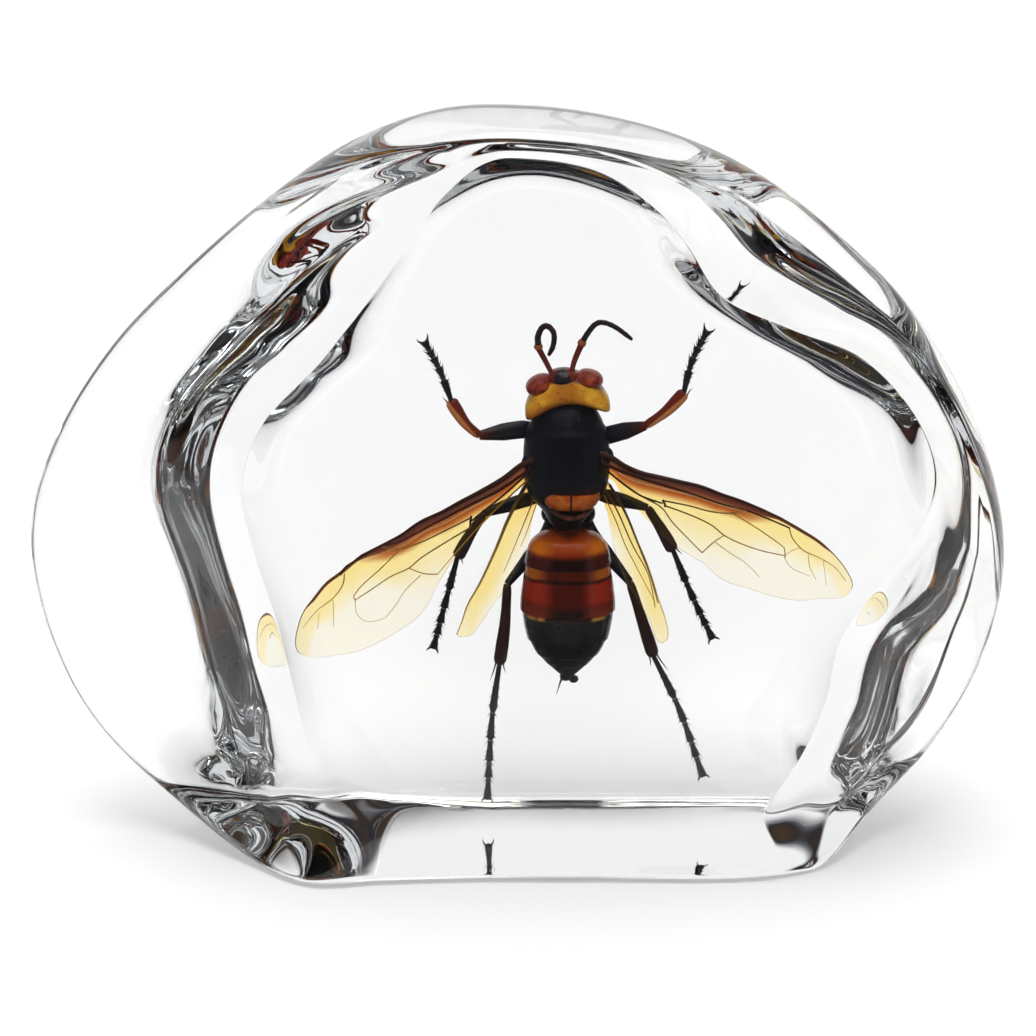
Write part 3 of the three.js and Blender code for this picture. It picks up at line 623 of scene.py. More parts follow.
def wing_membrane():
    """A clear film with a brown and orange stripe along the leading edge.

    The film is amber at the root and straw at the tip, and pales away from the leading edge. Light passes it
    twice, in front and behind, so its colours are square roots of the tints.
    """
    finish = Finish(bpy.data.materials.new("wing_membrane"))
    spot, _ = finish.axes()
    along, inwards, band, margin = [finish.layer(name) for name in ("along", "inwards", "band", "margin")]
    streak = finish.noise(spot, 260)
    cells = finish.noise(spot, 900, 2.0)
    in_bands = inwards / band

    away = inwards / (2.2 + 3 * band) + 0.3 * (streak - 0.5)
    pale = finish.most(finish.step(away, 0.2, 1.1), 0.7 * finish.step(along, 0.7, 1.05))
    straw = finish.mix(pale, finish.film((1.0, 0.90, 0.56)), finish.film((1.0, 0.98, 0.91)))
    film = finish.mix(finish.step(along, 0.0, 0.35), finish.film((1.0, 0.82, 0.42)), straw)
    broad = finish.step(band, 0.5, 1.0)
    glow = (1 - finish.step(in_bands, 0.7, 1.3)) * (1 - finish.step(along, 0.5, 0.68)) * broad
    film = finish.mix(glow * 0.92, film, finish.film((0.60, 0.23, 0.06)))

    stripe = 1 - finish.step(in_bands, 0.42, 0.52)
    line = (1 - finish.step(abs(in_bands - 0.62), 0.03, 0.07)) * broad * (1 - finish.step(along, 0.45, 0.6))
    edge = finish.step(margin, 0.7, 1.0)
    brown = finish.blend(finish.step(in_bands, 0.2, 0.4), (0.15, 0.036, 0.026), (0.30, 0.070, 0.022))
    solid = finish.blend(finish.most(stripe, edge * 0.9), (0.80, 0.62, 0.30), brown)
    cover = finish.most(stripe * 0.92, line * 0.5, edge * 0.2, 0.004 + 0.014 * cells)
    shell = finish.shell(Base_Color=solid, Roughness=0.35, Normal=finish.bump(streak, 0.2, 0.0002))
    return finish.surface(finish.mix(cover, film, shell))


# ---- the resin block

HALVES = ("resin_front", "resin_back")
resin = add_piece("resin_block", skin(BLOCK_GRID), clear_resin(), HALVES)
resin.visible_shadow = False

# ---- head, eyes and antennae

LEG_FINISH = chitin("leg_chitin", leg_colour, 0.38)
add_piece("head", dome([5.25, 19.6, 50.0], [4.75, 2.8, 1.75], -6, 3.0, 60, 90, 2.4),
          chitin("head_yellow", head_colour, 0.32))
add_piece("brow", dome([4.95, 18.7, 51.4], [1.75, 2.0, 0.9], -4, 2.2, 30, 40),
          chitin("brow_dark", brow_colour, 0.25))
add_piece("eyes", joined([
    dome([2.35, 18.8, 50.5], [1.55, 2.3, 0.98], -22, 2.2, 40, 60),
    dome([7.95, 18.8, 51.15], [1.5, 2.3, 0.9], 12, 2.2, 40, 60),
]), chitin("eye_red", eye_colour, 0.3, 5.0, 0.08, 0.05))
OCELLI = ((4.85, 51.65), (5.25, 51.4), (4.5, 51.35))
add_piece("ocelli", joined([dome([x, 16.85, z], [0.2, 0.16, 0.2], 0, 2, 12, 16) for x, z in OCELLI]),
          chitin("ocelli_black", ocelli_colour, 0.08))

JAW_PROFILE = [(0, 0.6), (0.6, 0.45), (1, 0.1)]
add_piece("jaws", joined([
    toned(dome([5.3, 21.9, 48.7], [2.1, 1.3, 1.3], 0, 2.2, 24, 32), 2.6),
    toned(limb([[3.7, 22.4, 48.9], [4.1, 22.9, 49.8], [5.1, 22.9, 50.1]], JAW_PROFILE, 16, 12, 0.7), 2),
    toned(limb([[6.9, 22.4, 48.9], [6.5, 22.9, 49.8], [5.5, 22.9, 50.2]], JAW_PROFILE, 16, 12, 0.7), 2),
]), LEG_FINISH)

LEFT_SCAPE = [[3.9, 18.4, 51.45], [3.1, 18.3, 53.05], [2.25, 18.2, 54.65]]
RIGHT_SCAPE = [[5.95, 18.4, 52.05], [6.25, 18.3, 53.25], [6.95, 18.2, 54.95]]
LEFT_WHIP = [[2.25, 18.2, 55.05], [2.2, 17.9, 55.95], [2.65, 17.5, 57.05], [3.35, 17.0, 57.3],
             [3.95, 16.7, 56.55], [3.85, 16.6, 55.25], [3.35, 16.6, 54.2]]
RIGHT_WHIP = [[7.15, 18.2, 55.4], [7.7, 18.0, 56.35], [8.5, 17.8, 57.35], [9.4, 17.6, 57.6],
              [10.8, 17.6, 57.05], [12.6, 17.6, 55.7]]
add_piece("antennae", joined([
    toned(limb(LEFT_SCAPE, [(0, 0.26), (0.5, 0.3), (1, 0.34)], 24, 14), 1.7),
    toned(dome([2.25, 18.2, 54.8], [0.5, 0.42, 0.46], 0, 2, 16, 20), 2.45),
    toned(ringed(LEFT_WHIP, 0.37, 0.3, 11), 0.8),
    toned(limb(RIGHT_SCAPE, [(0, 0.28), (0.5, 0.32), (1, 0.36)], 24, 14), 1.9),
    toned(dome([7.05, 18.2, 55.2], [0.5, 0.42, 0.5], 0, 2, 16, 20), 2.45),
    toned(ringed(RIGHT_WHIP, 0.34, 0.27, 11), 0.6),
]), LEG_FINISH)

# ---- thorax and abdomen

COLLAR_HEIGHT = 45.6
THORAX_PROFILE = eased([
    [49.2, 0.3], [48.9, 1.5], [48.1, 2.8], [46.6, 3.95], [44.6, 4.6], [42.3, 4.8], [39.9, 4.72], [38.3, 4.3],
    [37.3, 3.6], [36.3, 2.7], [35.3, 2.15], [34.5, 1.6], [34.0, 1.2], [33.0, 1.1], [32.6, 0.4],
], 140)
THORAX_PROFILE[:, 1] *= 0.985 + 0.02 * np.tanh((THORAX_PROFILE[:, 0] - COLLAR_HEIGHT) * -6)
THORAX_FINISH = chitin("thorax_black", thorax_colour, 0.42, 1.6, 0.3, 0.03)
add_piece("thorax", trunk(THORAX_PROFILE, THORAX_MIDDLE, 0.88), THORAX_FINISH)
add_piece("shoulders", joined([
    dome([1.15, 18.0, 41.8], [0.8, 1.0, 1.1], 0, 2, 24, 32),
    dome([9.85, 18.0, 42.6], [0.8, 1.0, 1.1], 0, 2, 24, 32),
    dome([3.7, 21.9, 35.2], [1.1, 1.5, 1.1], 0, 2, 20, 26),
    dome([7.6, 21.9, 35.2], [1.1, 1.5, 1.1], 0, 2, 20, 26),
]), THORAX_FINISH)
add_piece("scutellum", dome([SCUTELLUM_MIDDLE, 17.5, 38.5], [3.2, 1.9, 1.9], 0, 2.3, 40, 60),
          chitin("scutellum_orange", scutellum_colour, 0.3))
METANOTUM = [[3.6, 17.9, 36.9], [4.6, 16.9, 36.3], [5.9, 16.5, 36.1], [7.2, 16.9, 36.3], [8.3, 17.9, 36.9]]
add_piece("metanotum", limb(METANOTUM, [(0, 0.2), (0.5, 0.3), (1, 0.2)], 30, 12),
          chitin("metanotum_brown", metanotum_colour, 0.35))

ABDOMEN_PLATES = np.array([35.0, 30.2, 24.9, 21.6, 19.8, 18.6, 16.0])
PLATE_GAP = 0.07


def abdomen_profile():
    """The abdomen's outline: each plate swells towards its rear edge, and there steps in."""
    z, half = eased([
        [34.3, 1.1], [33.9, 1.7], [33.4, 3.3], [32.6, 4.25], [31.6, 4.65], [30.2, 4.85], [28, 5.2],
        [25.8, 5.35], [23.6, 5.1], [21.4, 4.4], [19.9, 3.45], [18.7, 2.3], [17.7, 1.2], [17.0, 0.3],
    ], 220).T
    plate = np.clip(np.searchsorted(-ABDOMEN_PLATES, -z, side="right") - 1, 0, len(ABDOMEN_PLATES) - 2)
    start, end = ABDOMEN_PLATES[plate], ABDOMEN_PLATES[plate + 1]
    swollen = 0.97 + 0.04 * ((start - z) / (start - end)) ** 2
    return np.column_stack([z, half * np.where(end - z > -PLATE_GAP, 0.985, swollen)])


add_piece("abdomen", trunk(abdomen_profile(), ABDOMEN_MIDDLE, 0.86, 96, 2.15),
          chitin("abdomen_banded", abdomen_colour, 0.24, 2.6, 0.1))
STING = [[5.3, 20.2, 17.7], [4.9, 20.4, 16.6], [4.35, 20.6, 14.8]]
add_piece("tail", joined([
    limb(STING, [(0, 0.3), (0.3, 0.14), (1, 0.02)], 20, 10),
    dome([6.3, 19.9, 16.8], [0.55, 0.5, 0.45], 0, 2, 16, 20),
    dome([5.4, 19.9, 17.1], [0.7, 0.7, 0.5], 0, 2, 16, 20),
]), LEG_FINISH)

# ---- legs

# Profiles are (share of the length, radius) knots; the femur's radii are shares of the leg's girth.
FEMUR_PROFILE = np.array([(0, 0.7), (0.25, 1.0), (0.6, 0.95), (0.9, 0.62), (1, 0.5)])
TIBIA_PROFILE = [(0, 0.4), (0.08, 0.52), (0.3, 0.55), (0.75, 0.74), (0.95, 0.74), (1, 0.5)]
SPUR_PROFILE = [(0, 0.1), (0.6, 0.07), (1, 0.01)]
CLAW_PROFILE = [(0, 0.12), (0.6, 0.08), (1, 0.015)]
# How far a claw's points are forward of its root, out to its side, and back in depth.
CLAW_HOOK = ((0, 0, 0), (0.25, 0.32, 0), (0.5, 0.5, 0.15), (0.7, 0.44, 0.35))
# Where the toe joints end, as shares of the tarsus, and the share left open at each end. Each flares along
# its rings, and its last ring is drawn in.
TOE_ENDS = (0, 0.36, 0.56, 0.72, 0.84, 1.0)
TOE_GAP = 0.004
TOE_RADII = 0.28 + 0.2 * np.linspace(0, 1, 12) ** 1.4
TOE_RADII[-1] = 0.24
TOE_TONE = 0.3
TARSUS_STEPS = 400
KNEE_GLOW, KNEE_REACH = 2.1, 1.5
TIBIA_HALF = 2.0
# A bristle's ring on its toe joint, how far its tip leans out, and its length.
BRISTLES = ((-1, 0.40, 0.62), (-3, 0.36, 0.5), (-5, 0.30, 0.42), (-7, 0.25, 0.34))
BRISTLE_RADII = 0.06 * np.array([1, 0.75, 0.45, 0.06])


def heading(line, start, end):
    """The unit vector between two points of a line, and a vector square to it and to the depth axis."""
    way = line[end] - line[start]
    way = way / np.linalg.norm(way)
    return way, np.cross(way, [0.0, 1.0, 0.0])


def hook(root, forward, side, steps):
    """Points at these distances forward, aside and back from the root."""
    return [root + ahead * forward + aside * side + np.array([0, back, 0]) for ahead, aside, back in steps]


def toe_joint(line, last):
    """A joint that flares to its end, with bristles on both sides, and on the last joint two claws."""
    forward, side = heading(line, -3, -1)
    parts = [tube(line, TOE_RADII, 12, 0.75)]
    shares = np.linspace(0, 1, len(BRISTLE_RADII))[:, None]
    for out in (-side, side):
        if last:
            parts.append(limb(hook(line[-2] + 0.15 * out, forward, out, CLAW_HOOK), CLAW_PROFILE, 12, 8))
        for ring, lean, length in BRISTLES[1:] if last else BRISTLES:
            root = line[ring] + 0.8 * TOE_RADII[ring] * out
            parts.append(tube(root + (length * forward + lean * out) * shares, BRISTLE_RADII, 6))
    return [toned(part, TOE_TONE) for part in parts]


def leg_parts(femur, tibia, tarsus, girth, tones, spurs):
    """Femur, warm by a warm leg's knee; tibia, with a pale outer edge; five toe joints; the ankle's spurs."""
    femur_tone, tibia_tone, pale = tones
    points, faces = limb(femur, FEMUR_PROFILE * (1, girth), 30, 18, 0.8)
    near_knee = np.exp(-np.linalg.norm(points - np.asarray(femur[-1]), axis=1) / KNEE_REACH)
    parts = [(points, faces, femur_tone + KNEE_GLOW * near_knee * (tibia_tone > 1))]
    points, faces = limb(tibia, TIBIA_PROFILE, 30, 16, 0.8)
    straight = np.subtract(tibia[-1], tibia[0])
    beside = (points[:, 0] - tibia[0][0]) * straight[2] - (points[:, 2] - tibia[0][2]) * straight[0]
    outer = np.clip(np.sign(straight[0]) * beside / TIBIA_HALF, 0, 1)
    parts.append((points, faces, tibia_tone + pale * outer))
    way = along(tarsus, np.linspace(0, 1, TARSUS_STEPS + 1))
    for start, end in zip(TOE_ENDS[:-1], TOE_ENDS[1:]):
        shares = np.linspace(start + TOE_GAP, end - TOE_GAP, len(TOE_RADII))
        parts += toe_joint(way[(shares * TARSUS_STEPS).astype(int)], end == TOE_ENDS[-1])
    forward, side = heading(way, 0, 20)
    for sign, length in spurs:
        root = way[0] + 0.4 * sign * side - 0.3 * forward
        bow = ((0, 0, 0), (0.5 * length, 0.14, 0), (length, 0.42, 0))
        parts.append(toned(limb(hook(root, forward, sign * side, bow), SPUR_PROFILE, 10, 8), tibia_tone))
    return parts


# Each leg's femur, tibia and tarsus, then its girth, the tones of femur, tibia and pale edge, and each spur's
# side and length.
LEGS = {
    "fore_leg_left": (
        [[2, 22, 44.4], [0.6, 21.4, 44.8], [-4.3, 20.3, 44.4]],
        [[-4.3, 20.3, 44.4], [-5.9, 20, 45.9], [-7.5, 20, 48.4]],
        [[-7.4, 20, 48.3], [-8.7, 20, 51.8], [-10.4, 20, 55]],
        1.02, (0.0, 1.9, 1.2), ((1, 1.1),),
    ),
    "fore_leg_right": (
        [[9, 22, 43.6], [9.9, 21.4, 44.1], [14.2, 20.3, 45.5]],
        [[14.2, 20.3, 45.5], [16.5, 20, 47.2], [18.5, 20, 49.3]],
        [[18.4, 20, 49.2], [19.3, 20, 52.8], [21, 20, 56.2]],
        1.02, (0.0, 1.9, 1.2), ((-1, 1.1),),
    ),
    "middle_leg_left": (
        [[2.8, 22.6, 37], [0.2, 22, 36.5], [-3.9, 20.6, 35.5]],
        [[-3.8, 20.6, 35.5], [-5.4, 20.2, 33.2], [-6.8, 20, 30.7]],
        [[-6.8, 20, 30.7], [-7.9, 20, 26.6], [-9.6, 20, 20.2]],
        0.82, (0.0, 0.6, 0), ((1, 0.9),),
    ),
    "middle_leg_right": (
        [[8.4, 22.6, 37.3], [10.4, 22, 37], [14.5, 20.6, 36.2]],
        [[14.5, 20.6, 36.2], [16.1, 20.2, 33.8], [17.4, 20, 31.5]],
        [[17.4, 20, 31.5], [19.6, 20, 26.3], [22, 20, 21.3]],
        0.82, (0.0, 0.6, 0), ((1, 1.1),),
    ),
    "hind_leg_left": (
        [[4.4, 22, 36], [3.2, 23.8, 32.2], [1.0, 22.6, 29.7], [-1.2, 21, 27.4]],
        [[-1.2, 21, 27.4], [-1.5, 20.3, 22.8], [-2.1, 20, 18.5]],
        [[-2.1, 20, 18.5], [-3, 20, 11.6], [-3.5, 20, 2.6]],
        0.85, (0.0, 1.0, 0), ((-1, 2.4), (1, 1.2)),
    ),
    "hind_leg_right": (
        [[6.8, 22, 36], [8.2, 23.8, 32.4], [10.4, 22.6, 29.9], [12.6, 21, 27.6]],
        [[12.6, 21, 27.6], [14.1, 20.3, 23.1], [15.3, 20, 19.4]],
        [[15.3, 20, 19.4], [18.3, 20, 13.2], [21.1, 20, 5.3]],
        0.9, (0.0, 1.0, 0), ((1, 2.6), (-1, 1.2)),
    ),
}
for leg_name, leg in LEGS.items():
    add_piece(leg_name, joined(leg_parts(*leg)), LEG_FINISH)

# ---- wings

# Places along a wing and across each face of it, and in mm the film's half thickness, its waves' height and
# the margin's width. Beyond TIP_START of its length a wing turns to margin right across.
WING_PLACES, WING_STEPS = 90, 40
FILM_HALF = 0.03
WAVE_HEIGHT = 0.12
MARGIN_WIDTH = 0.45
TIP_START = 0.97


def blade(leading, trailing, depth, stripe):
    """A wing membrane, a thin closed sheet ruled between its two edges.

    For a place along the wing the sheet runs straight from the leading to the trailing edge, over and back a
    hair's breadth behind, and it ripples in depth by a few waves across. It carries how far along the wing a
    point is, how far in from the leading edge in mm, the brown stripe's width there, and how near the margin.
    """
    shares = np.linspace(0, 1, WING_PLACES)
    front, rear = [along([(x, 0, z) for x, z in edge], shares) for edge in (leading, trailing)]
    across = np.linspace(0, 1, WING_STEPS)
    there = np.concatenate([across, across[::-1]])
    width = np.linalg.norm(rear - front, axis=1)[:, None]
    grid = front[:, None] + (rear - front)[:, None] * there[None, :, None]
    inwards = width * there
    ripple = WAVE_HEIGHT * np.sin(5.5 * there) * np.sin(7 * shares)[:, None] * np.minimum(width / 3, 1)
    grid[..., 1] = depth + ripple + np.repeat([-FILM_HALF, FILM_HALF], WING_STEPS)
    knots = np.asarray(stripe, float)
    band = np.interp(shares, knots[:, 0], knots[:, 1])[:, None] + 0 * there
    share = shares[:, None] + 0 * there
    by_edge = 1 - np.minimum(inwards, width - inwards) / MARGIN_WIDTH
    near = np.maximum(by_edge, (share - TIP_START) / (1 - TIP_START))
    margin = np.clip(near, 0, 1) * np.clip(share * 3, 0, 1)
    layers = {}
    for name, values in (("along", share), ("inwards", inwards), ("band", band), ("margin", margin)):
        layers[name] = np.concatenate([values.ravel(), [values[0].mean(), values[-1].mean()]])
    return skin(grid), layers


def vein(points, depth, start, end, tones, count=24):
    """A tube through (x, z) points at one depth, going from one radius and tone to another."""
    line = along([(x, depth, z) for x, z in points], np.linspace(0, 1, count))
    points, faces = tube(line, np.linspace(start, end, count), 8)
    return points, faces, np.interp(np.arange(len(points)), [0, len(points)], tones)


# The brown stripe's width in mm, by share of the wing's length.
FORE_STRIPE = [(0, 1.4), (0.1, 1.7), (0.35, 2.0), (0.56, 1.7), (0.64, 0.7), (0.82, 0.55), (0.86, 0.12),
               (1, 0.08)]
HIND_STRIPE = [(0, 0.35), (0.6, 0.25), (1, 0.05)]

# Each wing's leading and trailing edge (x, z), from root to tip.
FORE_LEFT = (
    [(2.2, 42.6), (0.4, 41.9), (-1.6, 40.4), (-4.2, 38.9), (-6.5, 37.7), (-8.5, 36.6), (-10.9, 35.5),
     (-13.1, 34), (-15.4, 32.8), (-17.6, 31.7), (-19.8, 29.9), (-21.5, 28.6), (-22.8, 27), (-24.1, 25.2),
     (-24.8, 23.1), (-25, 21.6), (-24.7, 20.7)],
    [(2.2, 40.2), (0.2, 39.3), (-1.6, 37.5), (-3.6, 35.6), (-5.6, 33.3), (-7.4, 30.9), (-9, 28.4),
     (-10, 26.3), (-11.3, 24.6), (-13.1, 23.3), (-14.7, 22.3), (-16.7, 21.3), (-18.7, 20.6), (-20.7, 20.3),
     (-22.7, 20.1), (-24.3, 20.4)],
)
FORE_RIGHT = (
    [(8.6, 43.4), (10.4, 42.7), (11.8, 41.8), (13.7, 41), (15.9, 40.5), (18.1, 40), (20.3, 39.5),
     (22.7, 38.6), (24.8, 37.9), (27, 37), (29.4, 35.9), (31.5, 34.7), (33.7, 33.3), (35.5, 31.6),
     (36.8, 29.9), (37.4, 28.6), (37.3, 27.9)],
    [(8.6, 41.2), (10.6, 40.1), (11.5, 38.7), (13.1, 37.2), (14.6, 35.6), (16.3, 33.9), (17.7, 32.7),
     (19.4, 31.6), (20.9, 30.7), (22.1, 29.5), (23.6, 28.6), (25.6, 28), (27.7, 27.3), (29.6, 26.8),
     (31.7, 26.6), (33.9, 26.8), (36.1, 26.9), (37, 27.4)],
)
HIND_LEFT = (
    [(1.8, 39.9), (0.8, 39.2), (-1.1, 35.5), (-2.5, 32.1), (-4.2, 28.4), (-5.6, 25.9), (-6.3, 23.9),
     (-6.9, 22.4)],
    [(2.6, 38.4), (1.6, 35.5), (1.2, 33), (0.3, 31), (-1.4, 27.6), (-3.1, 25.3), (-4.2, 23.6), (-5.3, 22.3),
     (-6.6, 22.1)],
)
HIND_RIGHT = (
    [(9.6, 39.9), (10.5, 39.2), (12.2, 36.1), (13.1, 33.8), (14.3, 31), (15.1, 28.7), (15.8, 26.4),
     (16.6, 24.1), (16.9, 22.4), (16.7, 21.7)],
    [(9.2, 38.4), (10, 36.1), (10.3, 34.4), (10.9, 31.6), (12, 28.7), (13.7, 25.9), (14.9, 23.6),
     (15.5, 21.9), (16.2, 21.4)],
)
WING_FINISH = wing_membrane()
for wing_name, edges, wing_depth, stripe in (
    ("fore_wing_left", FORE_LEFT, WING_DEPTH, FORE_STRIPE),
    ("fore_wing_right", FORE_RIGHT, WING_DEPTH, FORE_STRIPE),
    ("hind_wing_left", HIND_LEFT, HIND_WING_DEPTH, HIND_STRIPE),
    ("hind_wing_right", HIND_RIGHT, HIND_WING_DEPTH, HIND_STRIPE),
):
    membrane, wing_layers = blade(*edges, wing_depth, stripe)
    add_piece(wing_name, membrane, WING_FINISH, layers=wing_layers)

# Each vein's points (x, z), its first and last radius, its first and last tone, and its rings where not 24.
DARK, BROWN, OLIVE, FAINT = (0.0, 0.1), (0.2, 0.8), (0.9, 1.3), (1.5, 1.9)
FORE_VEINS = [
    (FORE_LEFT[0][:10], 0.34, 0.1, DARK, 60),
    (FORE_LEFT[0][9:], 0.09, 0.04, BROWN, 30),
    ([(1.5, 41.6), (-1.9, 39.2), (-4.8, 37.7), (-9.6, 35.2), (-13.2, 33.3), (-15.3, 32.9)],
     0.2, 0.08, DARK, 50),
    ([(-15.3, 32.9), (-17.6, 31.5), (-19.3, 30.4), (-19.8, 29.5)], 0.1, 0.1, DARK),
    ([(1, 40.9), (-1.9, 38.3), (-4.4, 36.3), (-5.2, 35.6)], 0.13, 0.1, DARK),
    ([(-5.2, 36.2), (-5.3, 35.5), (-5.3, 34.9)], 0.14, 0.12, DARK, 10),
    ([(-5.2, 36), (-8.6, 34.3), (-10.9, 33.2), (-13.1, 32.5), (-15.2, 32.7)], 0.09, 0.08, BROWN),
    ([(-13.1, 32.5), (-15.3, 30.3), (-17.5, 28.3), (-18.4, 27.1)], 0.07, 0.06, OLIVE),
    ([(-5.3, 34.9), (-8.6, 32.9), (-10.9, 31.4), (-12.2, 30.3), (-14.3, 29.3), (-16.5, 27.8),
     (-18.2, 26.7)],
     0.09, 0.06, (0.3, 1.2), 40),
    ([(-18.4, 27.1), (-18.3, 26.8), (-18.2, 26.6)], 0.06, 0.06, OLIVE, 6),
    ([(-12.2, 30.3), (-10.6, 29.7), (-9, 29.6)], 0.06, 0.07, OLIVE),
    ([(-10.9, 29.5), (-12.6, 27.8), (-13.7, 26.1), (-14.9, 24.6)], 0.05, 0.04, FAINT),
    ([(-19.4, 29.7), (-19.6, 28.4), (-20.7, 26.9), (-22.6, 25.4), (-24.1, 23.5)], 0.07, 0.04, (0.8, 1.8)),
    ([(-20.7, 26.7), (-20.7, 25), (-20.7, 23.6)], 0.04, 0.035, FAINT),
    ([(-18.2, 26.6), (-18.1, 25.2), (-16.9, 24.2), (-14.9, 24.6)], 0.04, 0.035, FAINT),
    ([(-22.3, 25.2), (-22.5, 23.4)], 0.035, 0.03, FAINT, 8),
    ([(1, 40.2), (-2.6, 36.8), (-5.6, 33.6), (-9, 29.6)], 0.1, 0.05, (0.3, 1.6)),
    (FORE_RIGHT[0][:11], 0.34, 0.1, DARK, 60),
    (FORE_RIGHT[0][10:], 0.09, 0.04, BROWN, 30),
    ([(9.2, 42.3), (11.5, 41.2), (15, 40), (19, 38.8), (22.5, 37.6), (25.3, 36.9)], 0.2, 0.08, DARK, 50),
    ([(25.3, 36.9), (27.8, 35.9), (29.9, 35), (30.3, 34.8)], 0.1, 0.1, DARK),
    ([(9.4, 41.7), (11.2, 40.2), (13.6, 38.5), (16.1, 37.6)], 0.13, 0.1, DARK),
    ([(16.1, 38), (16.3, 37.6), (16.4, 37.2)], 0.14, 0.12, DARK, 10),
    ([(16.3, 37.9), (19.2, 37.3), (21.4, 36.7), (23.9, 36.5), (25.3, 36.9)], 0.09, 0.08, BROWN),
    ([(23.9, 36.5), (26.5, 34.9), (28.7, 33.4), (29.7, 32.6)], 0.07, 0.06, OLIVE),
    ([(16.5, 37.3), (19.2, 36.3), (21.5, 35.2), (23, 34), (24.8, 33.1), (27.1, 32.3), (29.8, 31.7)],
     0.09, 0.06, (0.3, 1.2), 40),
    ([(29.7, 32.6), (29.8, 32), (29.8, 31.4)], 0.06, 0.06, OLIVE, 8),
    ([(23, 34), (21.9, 33.3), (20.6, 32.1)], 0.06, 0.07, OLIVE),
    ([(11.2, 40.2), (13.6, 38.5), (15.9, 37.2), (17.2, 35.5), (19.2, 33.4), (20.6, 32)],
     0.1, 0.06, (0.2, 1.0)),
    ([(21.9, 33.3), (23.7, 32), (25.4, 30.9), (27.1, 29.2)], 0.055, 0.04, FAINT),
    ([(30.2, 34.9), (30.6, 33.7), (31.5, 32.6), (32.2, 32.1), (33.8, 31.4), (35.5, 30.3), (36.6, 28.9)],
     0.07, 0.04, (0.8, 1.8)),
    ([(29.8, 31.7), (30.6, 32.3), (31.5, 32.6)], 0.045, 0.04, FAINT, 10),
    ([(29.8, 31.4), (30.6, 30.3), (32.6, 29.4)], 0.04, 0.035, FAINT, 12),
    ([(32.4, 31.9), (32.6, 30.4), (33.3, 29)], 0.04, 0.035, FAINT, 12),
    ([(34.1, 31.2), (34.3, 29.7), (34.5, 28.4)], 0.035, 0.03, FAINT, 12),
]
HIND_VEINS = [
    (HIND_LEFT[0], 0.24, 0.06, (0.0, 1.6), 40),
    ([(2, 38.4), (0.4, 34.4), (-0.9, 31.2), (-1.6, 29.6)], 0.08, 0.04, (0.4, 1.7)),
    ([(2.3, 38), (1.1, 34.4), (0.3, 32.4)], 0.06, 0.04, (0.8, 1.8)),
    ([(10.2, 39.4), (12, 36.2), (13.4, 32.8), (14.8, 29.2), (15.7, 26)], 0.17, 0.06, (0.0, 0.9), 30),
    ([(9.8, 38.8), (11.2, 36.2), (12.8, 32.6), (14.6, 29.2), (15.4, 25.5)], 0.1, 0.05, (0.1, 1.2), 30),
    ([(9.6, 38.2), (10.9, 35.4), (11.9, 32.8), (13, 30.6), (15.4, 26)], 0.07, 0.04, (0.5, 1.7), 30),
    (HIND_RIGHT[0][4:], 0.05, 0.04, FAINT, 20),
]
VEINS = [vein(points, WING_DEPTH - VEIN_RISE, *rest) for points, *rest in FORE_VEINS]
VEINS += [vein(points, HIND_WING_DEPTH, *rest) for points, *rest in HIND_VEINS]
add_piece("wing_veins", joined(VEINS), chitin("vein_brown", vein_colour, 0.4))

# ---- floor

# Metres. The floor is pale but for painted shade in two places that the window and the walls mirror: a
# painted shadow below the foot, an ellipse with this middle and these half sizes, and painted shade well in
# front of the block, past where the shade starts.
FLOOR_HALF = 8.0
FLOOR_LEVEL = -0.0002
FOOT_MIDDLE = (0.005, -0.005)
FOOT_HALF = (0.034, 0.0125)
SHADE_FULL, SHADE_START = -0.28, -0.07
PALE, PAINTED_FRONT_SHADE, PAINTED_FOOT_SHADOW = (0.93, 0.93, 0.93), (0.05, 0.05, 0.05), (0.008, 0.010, 0.016)

corners = [(FLOOR_HALF * x, FLOOR_HALF * y, FLOOR_LEVEL) for x, y in ((-1, -1), (1, -1), (1, 1), (-1, 1))]
floor_mesh = bpy.data.meshes.new("floor")
floor_mesh.from_pydata(corners, [], [(0, 1, 2, 3)])
floor = bpy.data.objects.new("floor", floor_mesh)
bpy.context.scene.collection.objects.link(floor)
paper = Finish(bpy.data.materials.new("floor_white"))
_, (floor_x, floor_y, _) = paper.axes()
aside = (floor_x - FOOT_MIDDLE[0]) / FOOT_HALF[0]
ahead = (floor_y - FOOT_MIDDLE[1]) / FOOT_HALF[1]
# Painted shade: the floor darkens well in front of the block, and a painted shadow fills the ellipse below
# the foot.
open_floor = paper.blend(paper.step(floor_y, SHADE_FULL, SHADE_START), PAINTED_FRONT_SHADE, PALE)
floor_colour = paper.blend(paper.step(aside * aside + ahead * ahead, 0.75, 1.0), PAINTED_FOOT_SHADOW, open_floor)
floor_mesh.materials.append(paper.surface(paper.shell(Base_Color=floor_colour, Roughness=0.9)))

# ---- the room, as a world of soft light

# White behind the block and low at its sides; a light box overhead, brighter than white by BOX_GLOW;
# elsewhere dusk, blue-black in some places and brown in others, and grey at and below the horizon.
BOX_GLOW = 4.9
WHITE, GREY = (1.0, 1.0, 1.0), (0.08, 0.08, 0.08)
BLUE_BLACK, BROWN_BLACK = (0.015, 0.020, 0.035), (0.055, 0.035, 0.020)

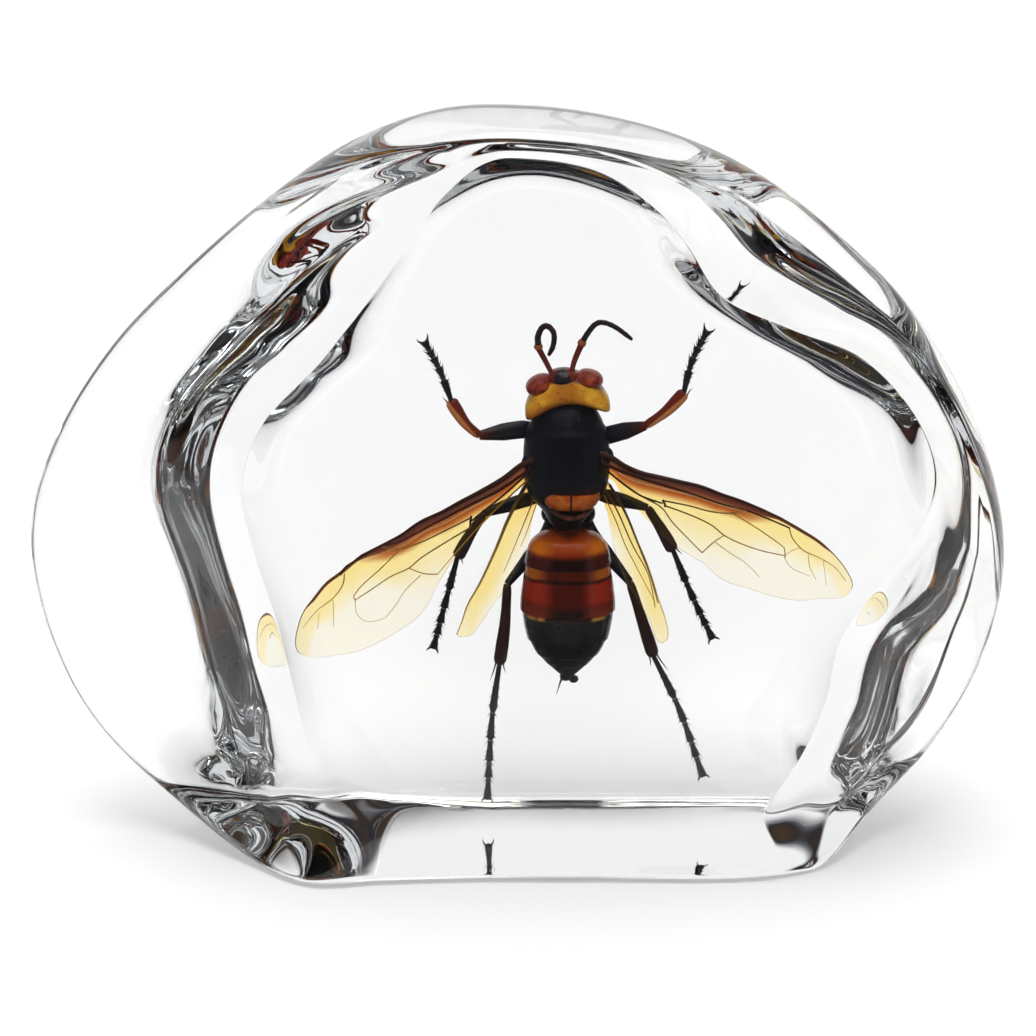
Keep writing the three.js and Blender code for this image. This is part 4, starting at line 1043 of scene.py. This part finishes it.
world = bpy.data.worlds.new("studio")
bpy.context.scene.world = world
sky = Finish(world)
direction, (_, behind, above) = sky.axes("Generated")
backdrop = sky.step(behind, 0.1, 0.5) * (1 - sky.step(above, 0.6, 0.72))
sweep = sky.step(behind, -0.1, 0.2) * (1 - sky.step(above, 0.1, 0.2))
light_box = sky.step(above, 0.9, 0.95)
dusk = sky.mottled(direction, 2.5, BLUE_BLACK, BROWN_BLACK, 0.42, 0.58)
dark = sky.blend(sky.step(above, 0.0, 0.25), GREY, dusk)
tone = sky.blend(sky.most(backdrop, sweep, light_box), dark, WHITE)
shine = sky.node("ShaderNodeBackground", None, {"Color": tone, "Strength": 1.0 + BOX_GLOW * light_box})
sky.node("ShaderNodeOutputWorld", None, {"Surface": shine.outputs[0]})

# ---- camera and front light

LENS = 110.0
VIEW_ELEVATION = math.radians(20)
VIEW_DISTANCE = 0.341
SOFTBOX_ELEVATION = math.radians(25)
SOFTBOX_DISTANCE = 3.0
# The softbox's size as a share of its distance, and its watts at one metre.
SOFTBOX_SPREAD = 0.6
SOFTBOX_POWER = 6.4
AIM_HEIGHT = 40.7
AIM = placed(np.array([[0.0, 0.0, AIM_HEIGHT]]))[0]
BOUNCES = 24


def stand(name, data, elevation, distance):
    """A camera or light in front of the block at this elevation and distance, facing it."""
    made = bpy.data.objects.new(name, data)
    made.location = (AIM + distance * np.array([0.0, -math.cos(elevation), math.sin(elevation)])).tolist()
    made.rotation_euler = (math.pi / 2 - elevation, 0, 0)
    bpy.context.scene.collection.objects.link(made)
    return made


camera_data = bpy.data.cameras.new("camera")
camera_data.lens = LENS
bpy.context.scene.camera = stand("camera", camera_data, VIEW_ELEVATION, VIEW_DISTANCE)

softbox_data = bpy.data.lights.new("softbox", "AREA")
softbox_data.size = SOFTBOX_SPREAD * SOFTBOX_DISTANCE
softbox_data.energy = SOFTBOX_POWER * SOFTBOX_DISTANCE ** 2
softbox = stand("softbox", softbox_data, SOFTBOX_ELEVATION, SOFTBOX_DISTANCE)
softbox.visible_camera = softbox.visible_glossy = softbox.visible_transmission = False

scene = bpy.context.scene
scene.view_settings.view_transform = "Standard"
scene.cycles.use_denoising = True
scene.cycles.caustics_refractive = False
scene.cycles.caustics_reflective = False
scene.cycles.max_bounces = BOUNCES
scene.cycles.transmission_bounces = BOUNCES
scene.cycles.glossy_bounces = 8
scene.cycles.sample_clamp_indirect = 6.0
